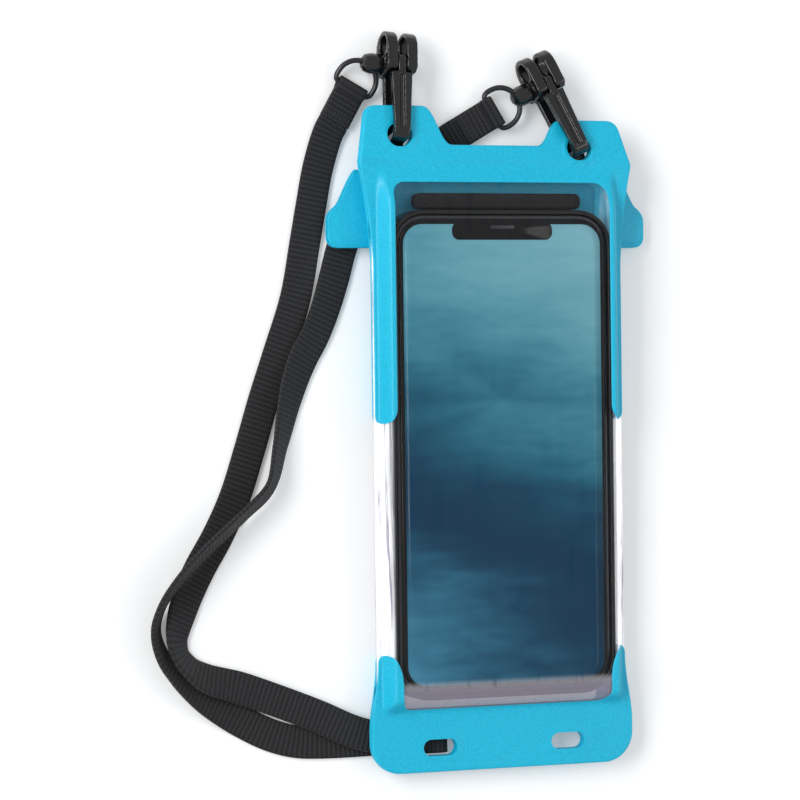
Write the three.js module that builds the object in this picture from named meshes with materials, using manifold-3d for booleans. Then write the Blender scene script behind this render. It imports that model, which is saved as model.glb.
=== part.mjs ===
// Waterproof phone pouch lying on its back: a clear film bag with soft blue covers,
// the phone that it holds, two snap clips through its header and a webbing neck strap.
// Millimetres: +X is the pouch's right, +Y its top end, +Z up from the floor.

import * as THREE from 'three';
import { mergeVertices } from 'three/addons/utils/BufferGeometryUtils.js';
import Module from 'manifold-3d';

// Clearance between pieces that touch
const gap = 0.3;

// Phone and its bumper case
const phoneWidth = 74.4;
const phoneLength = 155.4;
const phoneThickness = 8.2;
const phoneCorner = 10;
const glassThickness = 0.7;
const glassInset = 1.2;
const caseWall = 1.4;
const caseBack = 1.4;
const caseBevel = 1.6;
const foamWidth = 58;
const foamReach = 5.2;
const foamThickness = 6;

// Bag: film, covers and the room round the phone
const filmThickness = 0.5;
const coverThickness = 0.6;
const sideRoom = 3.9;
const bottomRoom = 4.2;
const headRoom = 15;
const sideWeld = 0.8;
const footWeld = 5;
const headWeld = 0.4;

// Front and back covers
const windowHalf = 37.6;
const windowCorner = 4.5;
const windowHeadMargin = 6;
const legLength = 84;
const creaseFlare = 5;
const flareLength = 32;
const flareKnee = 18;
const flareHead = 7;
const flareEase = 1.6;
const tipInner = 5;
const tipOuter = 3;
const lobeShoulder = 4;
const lobeSlope = 0.6;
const dipEase = 5;
const lobeRise = { left: 19, right: 15 };
const dipRise = 6.3;
const dipHalf = 15;
const lobeInner = 25;
const lobeOuter = 44.5;
const holeDrop = 9.6;
const holeX = { left: -33.4, right: 29.6 };
const holeWidth = 8.6;
const holeHeight = 7.8;
const headerSag = 4;
const finDepth = 19.5;
const finHalf = 46;
const finCorner = 10;
const bottomArm = 18;
const bottomMargin = 3;
const slotX = 22.5;
const slotWidth = 11.7;
const slotHeight = 5.4;
const slotRise = 8;

// Folded closure behind the header
const foldDrop = 1.5;
const closureDepth = 25.5;
const closureHalf = 56;
const closureNeck = 46;
const lipThickness = 0.6;
const sealThickness = 0.9;
const sealWidth = 9;
const sealHalf = 43;

// Neck strap and its room under the closure
const strapWidth = 10.5;
const strapThickness = 1.2;
const strapPass = 2;
const strapEndLength = 12;
const strapLift = 0.2;

// Snap clips
const yokeWidth = 10.6;
const yokeHalf = 5.7;
const yokeStart = 20.4;
const earCentre = 29;
const earHole = 3.4;
const forkWidth = 3;
const forkFloor = 26.4;
const armWidth = 7.2;
const armThickness = 2.2;
const armFront = 4.9;
const hookWidth = 5.4;
const grooveHalf = 0.8;
const grooveDepth = 0.8;
const hookFoot = 2.2;
const pinY = 24.4;
const pinRadius = 1.1;
const pinHead = 0.5;
const neckWidth = 2.6;
const jawThickness = 2.3;
const jawWidth = 6.6;
const jawFoot = 3.4;
const barrelRadius = 3.4;
const barrelLength = 6.2;
const stemRadius = 1.5;
const stemLength = 3.4;
const barrelY = 24;
const barrelZ = -1.8;
const clipLean = { left: -5, right: 23 };
const ringLean = { left: { heading: 64, drop: 0.5 }, right: { heading: 5, drop: 0.25 } };

// Strap rings
const wireRadius = 1;
const ringHalf = 6.7;
const ringCorner = 1.8;
const ringHeight = 10;

// Worked out from the sizes above
const caseHalfWidth = phoneWidth / 2 + gap + caseWall;
const caseHalfLength = phoneLength / 2 + gap + caseWall;
const bodyHalf = caseHalfWidth + sideRoom;
const bodyBottom = -(caseHalfLength + bottomRoom);
const crease = caseHalfLength + headRoom;
const creaseHalf = bodyHalf + creaseFlare;
const windowTop = crease - windowHeadMargin;
const windowBottom = -(caseHalfLength + bottomMargin);
const legTip = crease - legLength;
const finBottom = bodyBottom - finDepth;
const armTip = windowBottom + bottomArm;
const sheetStack = coverThickness + gap + filmThickness + gap;
const caseFloor = sheetStack;
const caseTop = caseFloor + caseBack + gap + phoneThickness;
const weldPlane = (caseFloor + caseTop) / 2;
const closureThickness = 2 * lipThickness + 2 * gap + sealThickness;
const foldLine = crease - foldDrop;
const closureEdge = foldLine - closureDepth;
const liftNeeded = gap + closureThickness + strapPass;
const tilt = Math.asin(liftNeeded / (closureEdge + caseHalfLength));
const wideSpan = 400;
const degree = Math.PI / 180;
const roundSides = 24;

const colours = { blue: 0x14b4e4, black: 0x141416, web: 0x1b1b1d, film: 0xe8eef2, glass: 0x2b5f78 };

function finish(color, roughness, metalness = 0, extra = {}) {
  return new THREE.MeshStandardMaterial({ color, roughness, metalness, ...extra });
}

// Turns a closed geometry into a solid that can be joined or cut.
function solidOf(geometry) {
  const bare = geometry.clone();
  bare.deleteAttribute('normal');
  bare.deleteAttribute('uv');
  const merged = mergeVertices(bare, 1e-4);
  return new wasm.Manifold(new wasm.Mesh({
    numProp: 3,
    vertProperties: new Float32Array(merged.attributes.position.array),
    triVerts: new Uint32Array(merged.index.array),
  }));
}

function geometryOf(solid) {
  const mesh = solid.getMesh();
  const geometry = new THREE.BufferGeometry();
  geometry.setAttribute('position', new THREE.BufferAttribute(new Float32Array(mesh.vertProperties), 3));
  geometry.setIndex(new THREE.BufferAttribute(new Uint32Array(mesh.triVerts), 1));
  return geometry;
}

function piece(name, solid, material) {
  const geometry = solid.isBufferGeometry ? solid : geometryOf(solid);
  const mesh = new THREE.Mesh(geometry, material);
  mesh.name = name;
  return mesh;
}

// A solid box between two corners.
function block(low, high) {
  const size = [0, 1, 2].map((k) => high[k] - low[k]);
  const geometry = new THREE.BoxGeometry(...size);
  geometry.translate(...[0, 1, 2].map((k) => (low[k] + high[k]) / 2));
  return solidOf(geometry);
}

// A flat outline made into a prism from low to high along Z.
function prism(shape, low, high, curveSegments = 6) {
  const depth = high - low;
  const geometry = new THREE.ExtrudeGeometry(shape, { depth, bevelEnabled: false, curveSegments });
  geometry.translate(0, 0, low);
  return solidOf(geometry);
}

// A profile drawn in Y and Z, made into a prism from low to high along X.
function sideways(shape, low, high, curveSegments = 8) {
  const depth = high - low;
  const geometry = new THREE.ExtrudeGeometry(shape, { depth, bevelEnabled: false, curveSegments });
  const alongX = new THREE.Matrix4().makeBasis(
    new THREE.Vector3(0, 1, 0),
    new THREE.Vector3(0, 0, 1),
    new THREE.Vector3(1, 0, 0),
  );
  geometry.applyMatrix4(alongX);
  geometry.translate(low, 0, 0);
  return solidOf(geometry);
}

// A round bar along X between two stations.
function barAlongX(radius, y, z, low, high) {
  const geometry = new THREE.CylinderGeometry(radius, radius, high - low, roundSides);
  geometry.rotateZ(Math.PI / 2);
  geometry.translate((low + high) / 2, y, z);
  return solidOf(geometry);
}

function roundedRect(halfWidth, low, high, corner) {
  const shape = new THREE.Shape();
  shape.moveTo(-halfWidth + corner, low);
  shape.lineTo(halfWidth - corner, low);
  shape.absarc(halfWidth - corner, low + corner, corner, -Math.PI / 2, 0);
  shape.lineTo(halfWidth, high - corner);
  shape.absarc(halfWidth - corner, high - corner, corner, 0, Math.PI / 2);
  shape.lineTo(-halfWidth + corner, high);
  shape.absarc(-halfWidth + corner, high - corner, corner, Math.PI / 2, Math.PI);
  shape.lineTo(-halfWidth, low + corner);
  shape.absarc(-halfWidth + corner, low + corner, corner, Math.PI, 1.5 * Math.PI);
  return shape;
}

// A slab whose lower and upper faces follow two height functions over a grid of lines.
function formedSlab(xs, ys, lower, upper) {
  const position = [];
  for (const height of [lower, upper]) {
    for (const y of ys) {
      for (const x of xs) position.push(x, y, height(x, y));
    }
  }
  const columns = xs.length;
  const layer = columns * ys.length;
  const index = [];
  const quad = (a, b, c, d) => index.push(a, b, c, a, c, d);
  for (let j = 0; j + 1 < ys.length; j += 1) {
    for (let i = 0; i + 1 < columns; i += 1) {
      const a = j * columns + i;
      const b = a + 1;
      const c = b + columns;
      const d = a + columns;
      quad(a, d, c, b);
      quad(a + layer, b + layer, c + layer, d + layer);
    }
  }
  const rim = [];
  for (let i = 0; i < columns; i += 1) rim.push(i);
  for (let j = 1; j < ys.length; j += 1) rim.push(j * columns + columns - 1);
  for (let i = columns - 2; i >= 0; i -= 1) rim.push((ys.length - 1) * columns + i);
  for (let j = ys.length - 2; j > 0; j -= 1) rim.push(j * columns);
  rim.forEach((a, k) => {
    const b = rim[(k + 1) % rim.length];
    quad(a, b, b + layer, a + layer);
  });
  const geometry = new THREE.BufferGeometry();
  geometry.setAttribute('position', new THREE.Float32BufferAttribute(position, 3));
  geometry.setIndex(index);
  return solidOf(geometry);
}

// A tube of given section radius round a closed flat loop of points with the given plane normal.
function closedWire(points, radius, normal, sides = 8) {
  const position = [];
  const count = points.length;
  points.forEach((point, k) => {
    const ahead = points[(k + 1) % count].clone().sub(points[(k + count - 1) % count]).normalize();
    const outward = new THREE.Vector3().crossVectors(ahead, normal).normalize();
    for (let s = 0; s < sides; s += 1) {
      const turn = (s / sides) * 2 * Math.PI;
      const at = point.clone();
      at.addScaledVector(outward, radius * Math.cos(turn));
      at.addScaledVector(normal, radius * Math.sin(turn));
      position.push(at.x, at.y, at.z);
    }
  });
  const index = [];
  for (let k = 0; k < count; k += 1) {
    for (let s = 0; s < sides; s += 1) {
      const a = k * sides + s;
      const b = k * sides + ((s + 1) % sides);
      const c = ((k + 1) % count) * sides + ((s + 1) % sides);
      const d = ((k + 1) % count) * sides + s;
      index.push(a, c, b, a, d, c);
    }
  }
  const geometry = new THREE.BufferGeometry();
  geometry.setAttribute('position', new THREE.Float32BufferAttribute(position, 3));
  geometry.setIndex(index);
  return solidOf(geometry);
}

const wasm = await Module();
wasm.setup();

// How far the film has risen from the weld, 0, to the phone's face, 1.
function fullness(x, y) {
  const side = THREE.MathUtils.smoothstep(bodyHalf - Math.abs(x), 0, sideRoom);
  const foot = THREE.MathUtils.smoothstep(y - bodyBottom, 0, bottomRoom);
  const head = THREE.MathUtils.smoothstep(crease - y, 0, headRoom);
  return side * foot * head;
}

// The header droops towards the floor, most of all at its right lobe.
function sag(x, y) {
  const out = THREE.MathUtils.clamp((y - crease) / lobeRise.right, 0, 1.2);
  return headerSag * out * (0.6 + 0.4 * THREE.MathUtils.smoothstep(x, -dipHalf, lobeInner));
}

// 1 where a cover lies over film, 0 where the two covers are welded to each other.
function overFilm(x, y) {
  const beyond = Math.max(
    Math.abs(x) - bodyHalf - sideWeld,
    bodyBottom - footWeld - y,
    y - crease - headWeld,
  );
  return 1 - THREE.MathUtils.smoothstep(beyond, gap, 3 * gap);
}

const frontRise = caseTop + gap - (weldPlane + gap / 2);
const backDrop = weldPlane - gap / 2 - (caseFloor - gap);
const frontFilmLow = (x, y) => weldPlane + gap / 2 + frontRise * fullness(x, y) - sag(x, y);
const backFilmHigh = (x, y) => weldPlane - gap / 2 - backDrop * fullness(x, y) - sag(x, y);
const frontFilmHigh = (x, y) => frontFilmLow(x, y) + filmThickness;
const backFilmLow = (x, y) => backFilmHigh(x, y) - filmThickness;
const frontCoverLow = (x, y) => frontFilmLow(x, y) + (filmThickness + gap) * overFilm(x, y);
const backCoverHigh = (x, y) => backFilmHigh(x, y) - (filmThickness + gap) * overFilm(x, y);
const frontCoverHigh = (x, y) => frontFilmHigh(x, y) + gap + coverThickness;
const backCoverLow = (x, y) => backFilmLow(x, y) - gap - coverThickness;

// Grid lines, close together where the sheets bend.
function between(low, high, parts) {
  return Array.from({ length: parts + 1 }, (_, k) => low + ((high - low) * k) / parts);
}
const sideLines = [
  ...between(caseHalfWidth, bodyHalf, 4),
  bodyHalf + sideWeld + gap,
  bodyHalf + sideWeld + 3 * gap,
  wideSpan / 2,
];
const across = [...sideLines.map((x) => -x).reverse(), -dipHalf, 0, lobeInner / 2, lobeInner, ...sideLines];
const footLines = [
  bodyBottom - footWeld - 3 * gap,
  bodyBottom - footWeld - gap,
  ...between(bodyBottom, -caseHalfLength, 4),
];
const headLines = [
  ...between(caseHalfLength, crease, 6),
  crease + headWeld + gap,
  crease + headWeld + 3 * gap,
  crease + lobeRise.right / 2,
  crease + lobeRise.right,
];

function sheet(outline, lower, upper) {
  const reach = outline.getPoints().map((p) => p.y);
  const [low, high] = [Math.min(...reach) - 1, Math.max(...reach) + 1];
  const inside = [...footLines, 0, ...headLines].filter((y) => y > low && y < high);
  const slab = formedSlab(across, [low, ...inside, high], lower, upper);
  return slab.intersect(prism(outline, -wideSpan / 2, wideSpan / 2));
}

// Outline of the upper cover: header with two lobes, side legs and an open window between them.
function upperOutline() {
  const shape = new THREE.Shape();
  const tip = legTip;
  const shoulder = lobeShoulder;
  shape.moveTo(-windowHalf, tip + tipInner);
  shape.bezierCurveTo(-windowHalf, tip + 2, -bodyHalf + 3, tip, -bodyHalf + 1.5, tip);
  shape.quadraticCurveTo(-bodyHalf - sideWeld, tip, -bodyHalf - sideWeld, tip + tipOuter);
  shape.lineTo(-bodyHalf - sideWeld, crease - flareLength);
  const knee = [bodyHalf + flareEase, crease - flareKnee];
  const neck = [creaseHalf - flareEase, crease - flareHead];
  shape.bezierCurveTo(-knee[0], knee[1], -neck[0], neck[1], -creaseHalf, crease);
  for (const [side, rise] of [[-1, lobeRise.left], [1, lobeRise.right]]) {
    const top = crease + rise;
    const dip = crease + dipRise;
    const high = lobeInner - dipEase;
    const low = dipHalf + dipEase;
    const steps = [
      () => {
        shape.lineTo(side * (lobeOuter + lobeSlope), top - shoulder);
        shape.quadraticCurveTo(side * lobeOuter, top, side * (lobeOuter - shoulder), top);
        shape.lineTo(side * lobeInner, top);
        shape.bezierCurveTo(side * high, top, side * low, dip, side * dipHalf, dip);
      },
      () => {
        shape.lineTo(side * dipHalf, dip);
        shape.bezierCurveTo(side * low, dip, side * high, top, side * lobeInner, top);
        shape.lineTo(side * (lobeOuter - shoulder), top);
        shape.quadraticCurveTo(side * lobeOuter, top, side * (lobeOuter + lobeSlope), top - shoulder);
        shape.lineTo(side * creaseHalf, crease);
      },
    ];
    steps[side < 0 ? 0 : 1]();
  }
  shape.bezierCurveTo(neck[0], neck[1], knee[0], knee[1], bodyHalf + sideWeld, crease - flareLength);
  shape.lineTo(bodyHalf + sideWeld, tip + tipOuter);
  shape.quadraticCurveTo(bodyHalf + sideWeld, tip, bodyHalf - 1.5, tip);
  shape.bezierCurveTo(bodyHalf - 3, tip, windowHalf, tip + 2, windowHalf, tip + tipInner);
  shape.lineTo(windowHalf, windowTop - windowCorner);
  shape.absarc(windowHalf - windowCorner, windowTop - windowCorner, windowCorner, 0, Math.PI / 2);
  shape.lineTo(-windowHalf + windowCorner, windowTop);
  shape.absarc(-windowHalf + windowCorner, windowTop - windowCorner, windowCorner, Math.PI / 2, Math.PI);
  shape.closePath();
  for (const side of ['left', 'right']) {
    shape.holes.push(slot(holeX[side], holeY(side), holeWidth, holeHeight));
  }
  return shape;
}

function holeY(side) {
  return crease + lobeRise[side] - holeDrop;
}

// A stadium-shaped hole.
function slot(x, y, width, height) {
  const hole = new THREE.Path();
  const radius = height / 2;
  const reach = width / 2 - radius;
  hole.absarc(x + reach, y, radius, -Math.PI / 2, Math.PI / 2);
  hole.absarc(x - reach, y, radius, Math.PI / 2, 1.5 * Math.PI);
  hole.closePath();
  return hole;
}

// Outline of the lower cover: a fin with two slots and an arm up each side.
function lowerOutline() {
  const shape = new THREE.Shape();
  const edge = bodyHalf + sideWeld;
  shape.moveTo(-edge, armTip - 3);
  shape.bezierCurveTo(-edge, bodyBottom + 8, -finHalf, bodyBottom + 2, -finHalf, bodyBottom - 6);
  shape.lineTo(-finHalf, finBottom + finCorner);
  shape.absarc(-finHalf + finCorner, finBottom + finCorner, finCorner, Math.PI, 1.5 * Math.PI);
  shape.lineTo(finHalf - finCorner, finBottom);
  shape.absarc(finHalf - finCorner, finBottom + finCorner, finCorner, -Math.PI / 2, 0);
  shape.lineTo(finHalf, bodyBottom - 6);
  shape.bezierCurveTo(finHalf, bodyBottom + 2, edge, bodyBottom + 8, edge, armTip - 3);
  shape.quadraticCurveTo(edge, armTip, bodyHalf - 1.5, armTip);
  shape.bezierCurveTo(bodyHalf - 4, armTip, windowHalf - 1, armTip - 5, windowHalf - 1, windowBottom + 8);
  shape.lineTo(windowHalf - 1, windowBottom + windowCorner);
  shape.quadraticCurveTo(windowHalf - 1, windowBottom, windowHalf - 1 - windowCorner, windowBottom);
  shape.lineTo(-windowHalf + 1 + windowCorner, windowBottom);
  shape.quadraticCurveTo(-windowHalf + 1, windowBottom, -windowHalf + 1, windowBottom + windowCorner);
  shape.lineTo(-windowHalf + 1, windowBottom + 8);
  shape.bezierCurveTo(-windowHalf + 1, armTip - 5, -bodyHalf + 4, armTip, -bodyHalf + 1.5, armTip);
  shape.quadraticCurveTo(-edge, armTip, -edge, armTip - 3);
  for (const side of [-1, 1]) {
    shape.holes.push(slot(side * slotX, finBottom + slotRise, slotWidth, slotHeight));
  }
  return shape;
}

// Bag: two formed films with covers on both sides.
function bagPieces() {
  const blue = () => finish(colours.blue, 0.62);
  const clear = () => finish(colours.film, 0.12, 0, { transparent: true, opacity: 0.3 });
  const filmShape = roundedRect(bodyHalf + sideWeld, bodyBottom - footWeld, crease + headWeld, windowCorner);
  return [
    piece('front_film', sheet(filmShape, frontFilmLow, frontFilmHigh), clear()),
    piece('back_film', sheet(filmShape, backFilmLow, backFilmHigh), clear()),
    piece('front_upper_cover', sheet(upperOutline(), frontCoverLow, frontCoverHigh), blue()),
    piece('back_upper_cover', sheet(upperOutline(), backCoverLow, backCoverHigh), blue()),
    piece('front_lower_cover', sheet(lowerOutline(), frontCoverLow, frontCoverHigh), blue()),
    piece('back_lower_cover', sheet(lowerOutline(), backCoverLow, backCoverHigh), blue()),
  ];
}

// Phone in its bumper case, with a foam float above it.
function phonePieces() {
  const caseCorner = phoneCorner + gap + caseWall;
  const shell = new THREE.ExtrudeGeometry(
    roundedRect(
      caseHalfWidth - caseBevel,
      -caseHalfLength + caseBevel,
      caseHalfLength - caseBevel,
      caseCorner - caseBevel,
    ),
    {
      depth: caseTop - caseFloor - 2 * caseBevel,
      bevelSize: caseBevel,
      bevelThickness: caseBevel,
      bevelSegments: 2,
      curveSegments: 5,
    },
  );
  shell.translate(0, 0, caseFloor + caseBevel);
  const phoneFloor = caseFloor + caseBack + gap;
  const pocketHalf = phoneWidth / 2 + gap;
  const pocket = roundedRect(pocketHalf, -phoneLength / 2 - gap, phoneLength / 2 + gap, phoneCorner + gap);
  const shellSolid = solidOf(shell).subtract(prism(pocket, phoneFloor - gap, caseTop + 1));
  const bodyTop = caseTop - glassThickness - gap;
  const outline = roundedRect(phoneWidth / 2, -phoneLength / 2, phoneLength / 2, phoneCorner);
  const glass = roundedRect(
    phoneWidth / 2 - glassInset,
    -phoneLength / 2 + glassInset,
    phoneLength / 2 - glassInset,
    phoneCorner - glassInset,
  );
  const foamLow = caseHalfLength + gap;
  const foam = roundedRect(foamWidth / 2, foamLow, foamLow + foamReach, foamReach / 3);
  const foamFloor = weldPlane - foamThickness / 2;
  return [
    piece('phone_case', shellSolid, finish(colours.black, 0.5)),
    piece('phone_body', prism(outline, phoneFloor, bodyTop), finish(colours.black, 0.4, 0.2)),
    piece('phone_glass', prism(glass, bodyTop + gap, caseTop), finish(colours.glass, 0.15)),
    piece('foam_float', prism(foam, foamFloor, foamFloor + foamThickness), finish(colours.black, 0.9)),
  ];
}

// Closure folded down behind the header: two lips with the magnetic seal bar between them.
function closurePieces() {
  const blue = () => finish(colours.blue, 0.62);
  const outline = new THREE.Shape();
  const waist = closureNeck + 3;
  const hip = closureHalf - 5;
  outline.moveTo(-closureNeck, foldLine);
  outline.bezierCurveTo(-waist, foldLine - 3, -hip, foldLine - 10, -closureHalf + 3, foldLine - 12);
  outline.quadraticCurveTo(-closureHalf, foldLine - 14, -closureHalf, foldLine - 17);
  outline.lineTo(-closureHalf, closureEdge + 4);
  outline.quadraticCurveTo(-closureHalf, closureEdge, -closureHalf + 4, closureEdge);
  outline.lineTo(closureHalf - 4, closureEdge);
  outline.quadraticCurveTo(closureHalf, closureEdge, closureHalf, closureEdge + 4);
  outline.lineTo(closureHalf, foldLine - 17);
  outline.quadraticCurveTo(closureHalf, foldLine - 14, closureHalf - 3, foldLine - 12);
  outline.bezierCurveTo(hip, foldLine - 10, waist, foldLine - 3, closureNeck, foldLine);
  const innerHigh = -gap;
  const innerLow = innerHigh - lipThickness;
  const sealHigh = innerLow - gap;
  const sealLow = sealHigh - sealThickness;
  const outerHigh = sealLow - gap;
  const outerLow = outerHigh - lipThickness;
  const foldTop = weldPlane - gap / 2 - filmThickness - coverThickness - 3 * gap;
  const foldHalf = closureNeck - 4;
  const foldFoot = [-foldHalf, foldLine - lipThickness, outerHigh - 0.1];
  const fold = block(foldFoot, [foldHalf, foldLine, foldTop]);
  const outer = prism(outline, outerLow, outerHigh).add(fold);
  const keepY = foldLine - lipThickness - gap;
  const keepOff = block([-wideSpan / 2, keepY, -10], [wideSpan / 2, foldLine + 10, 10]);
  const inner = prism(outline, innerLow, innerHigh).subtract(keepOff);
  const sealY = (foldLine + closureEdge) / 2;
  const sealReach = sealWidth / 2;
  const seal = block([-sealHalf, sealY - sealReach, sealLow], [sealHalf, sealY + sealReach, sealHigh]);
  return [
    piece('closure_inner_lip', inner, blue()),
    piece('closure_outer_lip', outer, blue()),
    piece('seal_bar', seal, finish(colours.black, 0.5)),
  ];
}

// Points of a strap ring: a straight bar for the webbing and a bow up to the clip's eye.
function ringLoop() {
  const point = (u, v) => new THREE.Vector3(u, v, 0);
  const corner = (side, turn) => point(
    side * (ringHalf - ringCorner + ringCorner * Math.cos(turn)),
    ringCorner + ringCorner * Math.sin(turn),
  );
  const shoulder = ringHeight - ringHalf;
  return [
    ...between(-ringHalf + ringCorner, ringHalf - ringCorner, 4).map((u) => point(u, 0)),
    ...[-Math.PI / 4, 0].map((turn) => corner(1, turn)),
    ...between(0, Math.PI, 16).map((turn) => (
      point(ringHalf * Math.cos(turn), shoulder + ringHalf * Math.sin(turn))
    )),
    ...[0, -Math.PI / 4].map((turn) => corner(-1, turn)),
  ];
}

// One clip in its own frame: the hole's centre at the origin, +Y to the yoke, +Z to the front.
function clipPieces(side, pitch) {
  const black = () => finish(colours.black, 0.35);
  const eyeZ = armFront - armThickness / 2;

  const yokeSide = new THREE.Shape();
  yokeSide.moveTo(yokeStart, -yokeHalf);
  yokeSide.lineTo(earCentre, -yokeHalf);
  yokeSide.absarc(earCentre, 0, yokeHalf, -Math.PI / 2, Math.PI / 2);
  yokeSide.lineTo(yokeStart + 1.5, yokeHalf);
  yokeSide.lineTo(yokeStart, yokeHalf - 2);
  yokeSide.closePath();
  const farY = earCentre + yokeHalf + 1;
  const jawHigh = jawThickness - yokeHalf;
  const jaw = block([-jawWidth / 2, -jawFoot, -yokeHalf], [jawWidth / 2, yokeStart + 1, jawHigh]);
  const slotLow = armFront - armThickness - 0.9;
  const stemStart = -yokeWidth / 2 - 1;
  const stemEnd = -yokeWidth / 2 + stemLength + gap;
  const yoke = sideways(yokeSide, -yokeWidth / 2, yokeWidth / 2)
    .subtract(block([-forkWidth / 2, forkFloor, -9], [forkWidth / 2, farY, 9]))
    .subtract(block([-forkWidth / 2, yokeStart - 1, slotLow], [forkWidth / 2, farY, 9]))
    .subtract(barAlongX(earHole, earCentre + 0.6, 0.6, -wideSpan / 2, wideSpan / 2))
    .subtract(barAlongX(pinRadius + gap, pinY, eyeZ, -yokeWidth / 2 - 1, yokeWidth / 2 + 1))
    .subtract(barAlongX(stemRadius + gap, barrelY, barrelZ, stemStart, stemEnd))
    .add(jaw);

  // The arm's hook comes down through the hole and ends just above the jaw.
  const armBack = armFront - armThickness;
  const hookEnd = -yokeHalf + jawThickness + gap;
  const hook = new THREE.Shape();
  hook.moveTo(yokeStart - gap, armFront);
  hook.lineTo(2.5, armFront);
  hook.quadraticCurveTo(-hookFoot, armFront, -hookFoot, 1);
  hook.lineTo(-hookFoot, hookEnd);
  hook.lineTo(-hookFoot + armThickness, hookEnd);
  hook.lineTo(-hookFoot + armThickness, 1);
  hook.quadraticCurveTo(-hookFoot + armThickness, armBack, 2.5, armBack);
  hook.lineTo(yokeStart - gap, armBack);
  hook.closePath();
  const neck = new THREE.Shape();
  neck.moveTo(yokeStart - gap - 1, armBack);
  neck.lineTo(pinY, eyeZ - armThickness / 2);
  neck.absarc(pinY, eyeZ, armThickness / 2 + 0.6, -Math.PI / 2, Math.PI / 2);
  neck.lineTo(yokeStart - gap - 1, armFront);
  neck.closePath();
  const taper = new THREE.Shape([
    new THREE.Vector2(-hookWidth / 2, 1),
    new THREE.Vector2(hookWidth / 2, 1),
    new THREE.Vector2(armWidth / 2, yokeStart - gap),
    new THREE.Vector2(-armWidth / 2, yokeStart - gap),
  ]);
  const rib = prism(taper, armBack, armFront);
  let arm = sideways(hook, -hookWidth / 2, hookWidth / 2)
    .add(rib)
    .add(sideways(neck, -neckWidth / 2, neckWidth / 2))
    .subtract(barAlongX(pinRadius + gap, pinY, eyeZ, -armWidth, armWidth));
  const grooveLow = [-grooveHalf, 1, armFront - grooveDepth];
  arm = arm.subtract(block(grooveLow, [grooveHalf, yokeStart - 1.2, armFront + 1]));
  const pin = barAlongX(pinRadius, pinY, eyeZ, -yokeWidth / 2 + pinHead, yokeWidth / 2 - pinHead);

  // The swivel barrel sits on the yoke's left side, on a stem.
  const profile = [
    [0, 0], [stemRadius, 0], [stemRadius, stemLength], [barrelRadius, stemLength],
    [barrelRadius, stemLength + barrelLength * 0.55],
    [barrelRadius * 0.82, stemLength + barrelLength * 0.85],
    [barrelRadius * 0.45, stemLength + barrelLength], [0, stemLength + barrelLength],
  ].map(([r, h]) => new THREE.Vector2(r, h));
  const barrelGeometry = new THREE.LatheGeometry(profile, roundSides);
  barrelGeometry.rotateZ(Math.PI / 2);
  barrelGeometry.translate(-yokeWidth / 2 + stemLength - gap, barrelY, barrelZ);
  const eyeX = -yokeWidth / 2 - gap - barrelLength + 1.9;
  const frame = ringAxes(ringLean[side], pitch);
  const loop = ringLoop().map((p) => {
    const at = new THREE.Vector3(eyeX, barrelY, barrelZ);
    at.addScaledVector(frame.bar, p.x);
    at.addScaledVector(frame.up, p.y - ringHeight);
    return at;
  });
  const ring = closedWire(loop, wireRadius, frame.normal);
  const swivel = solidOf(barrelGeometry).subtract(closedWire(loop, wireRadius + gap, frame.normal));
  return {
    body: [
      piece(`${side}_clip_yoke`, yoke, black()),
      piece(`${side}_clip_pin`, pin, black()),
      piece(`${side}_clip_swivel`, swivel, black()),
      piece(`${side}_strap_ring`, ring, finish(colours.black, 0.3, 0.4)),
    ],
    arm: piece(`${side}_clip_arm`, arm, black()),
    frame,
    barCentre: new THREE.Vector3(eyeX, barrelY, barrelZ).addScaledVector(frame.up, -ringHeight),
  };
}

// A ring's directions in its clip's frame: from its bar up to the eye, and along the bar, which lies level.
function ringAxes({ heading, drop }, pitch) {
  const up = new THREE.Vector3(Math.cos(heading * degree), Math.sin(heading * degree), drop).normalize();
  const vertical = new THREE.Vector3(0, -Math.sin(pitch), Math.cos(pitch));
  const bar = new THREE.Vector3().crossVectors(up, vertical).normalize();
  const normal = new THREE.Vector3().crossVectors(bar, up).normalize();
  return { up, bar, normal };
}

// The pouch leans by the tilt, with its foot on the floor.
const pouch = new THREE.Group();
pouch.rotation.x = tilt;
pouch.position.z = caseHalfLength * Math.sin(tilt);
pouch.add(...bagPieces(), ...phonePieces(), ...closurePieces());
pouch.updateMatrixWorld(true);

const part = new THREE.Group();
part.add(pouch);

// Each clip is set through its hole, with its yoke's far end on the floor.
function placeClip(side) {
  const x = holeX[side];
  const y = holeY(side);
  const hole = pouch.localToWorld(new THREE.Vector3(x, y, weldPlane - sag(x, y)));
  const pitch = Math.asin((hole.z - yokeHalf) / earCentre);
  const clip = new THREE.Group();
  clip.position.copy(hole);
  clip.rotation.set(0, 0, clipLean[side] * degree);
  const nod = new THREE.Group();
  nod.rotation.x = -pitch;
  clip.add(nod);
  const made = clipPieces(side, pitch);
  nod.add(...made.body, made.arm);
  clip.updateMatrixWorld(true);
  const box = new THREE.Box3().setFromObject(clip, true);
  clip.position.z -= box.min.z;
  clip.updateMatrixWorld(true);
  part.add(clip);
  const bar = nod.localToWorld(made.barCentre.clone());
  const away = made.frame.up.clone().negate().transformDirection(nod.matrixWorld);
  const axis = made.frame.bar.clone().transformDirection(nod.matrixWorld);
  return { bar, away, axis };
}
const ringEnd = { left: placeClip('left'), right: placeClip('right') };

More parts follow.
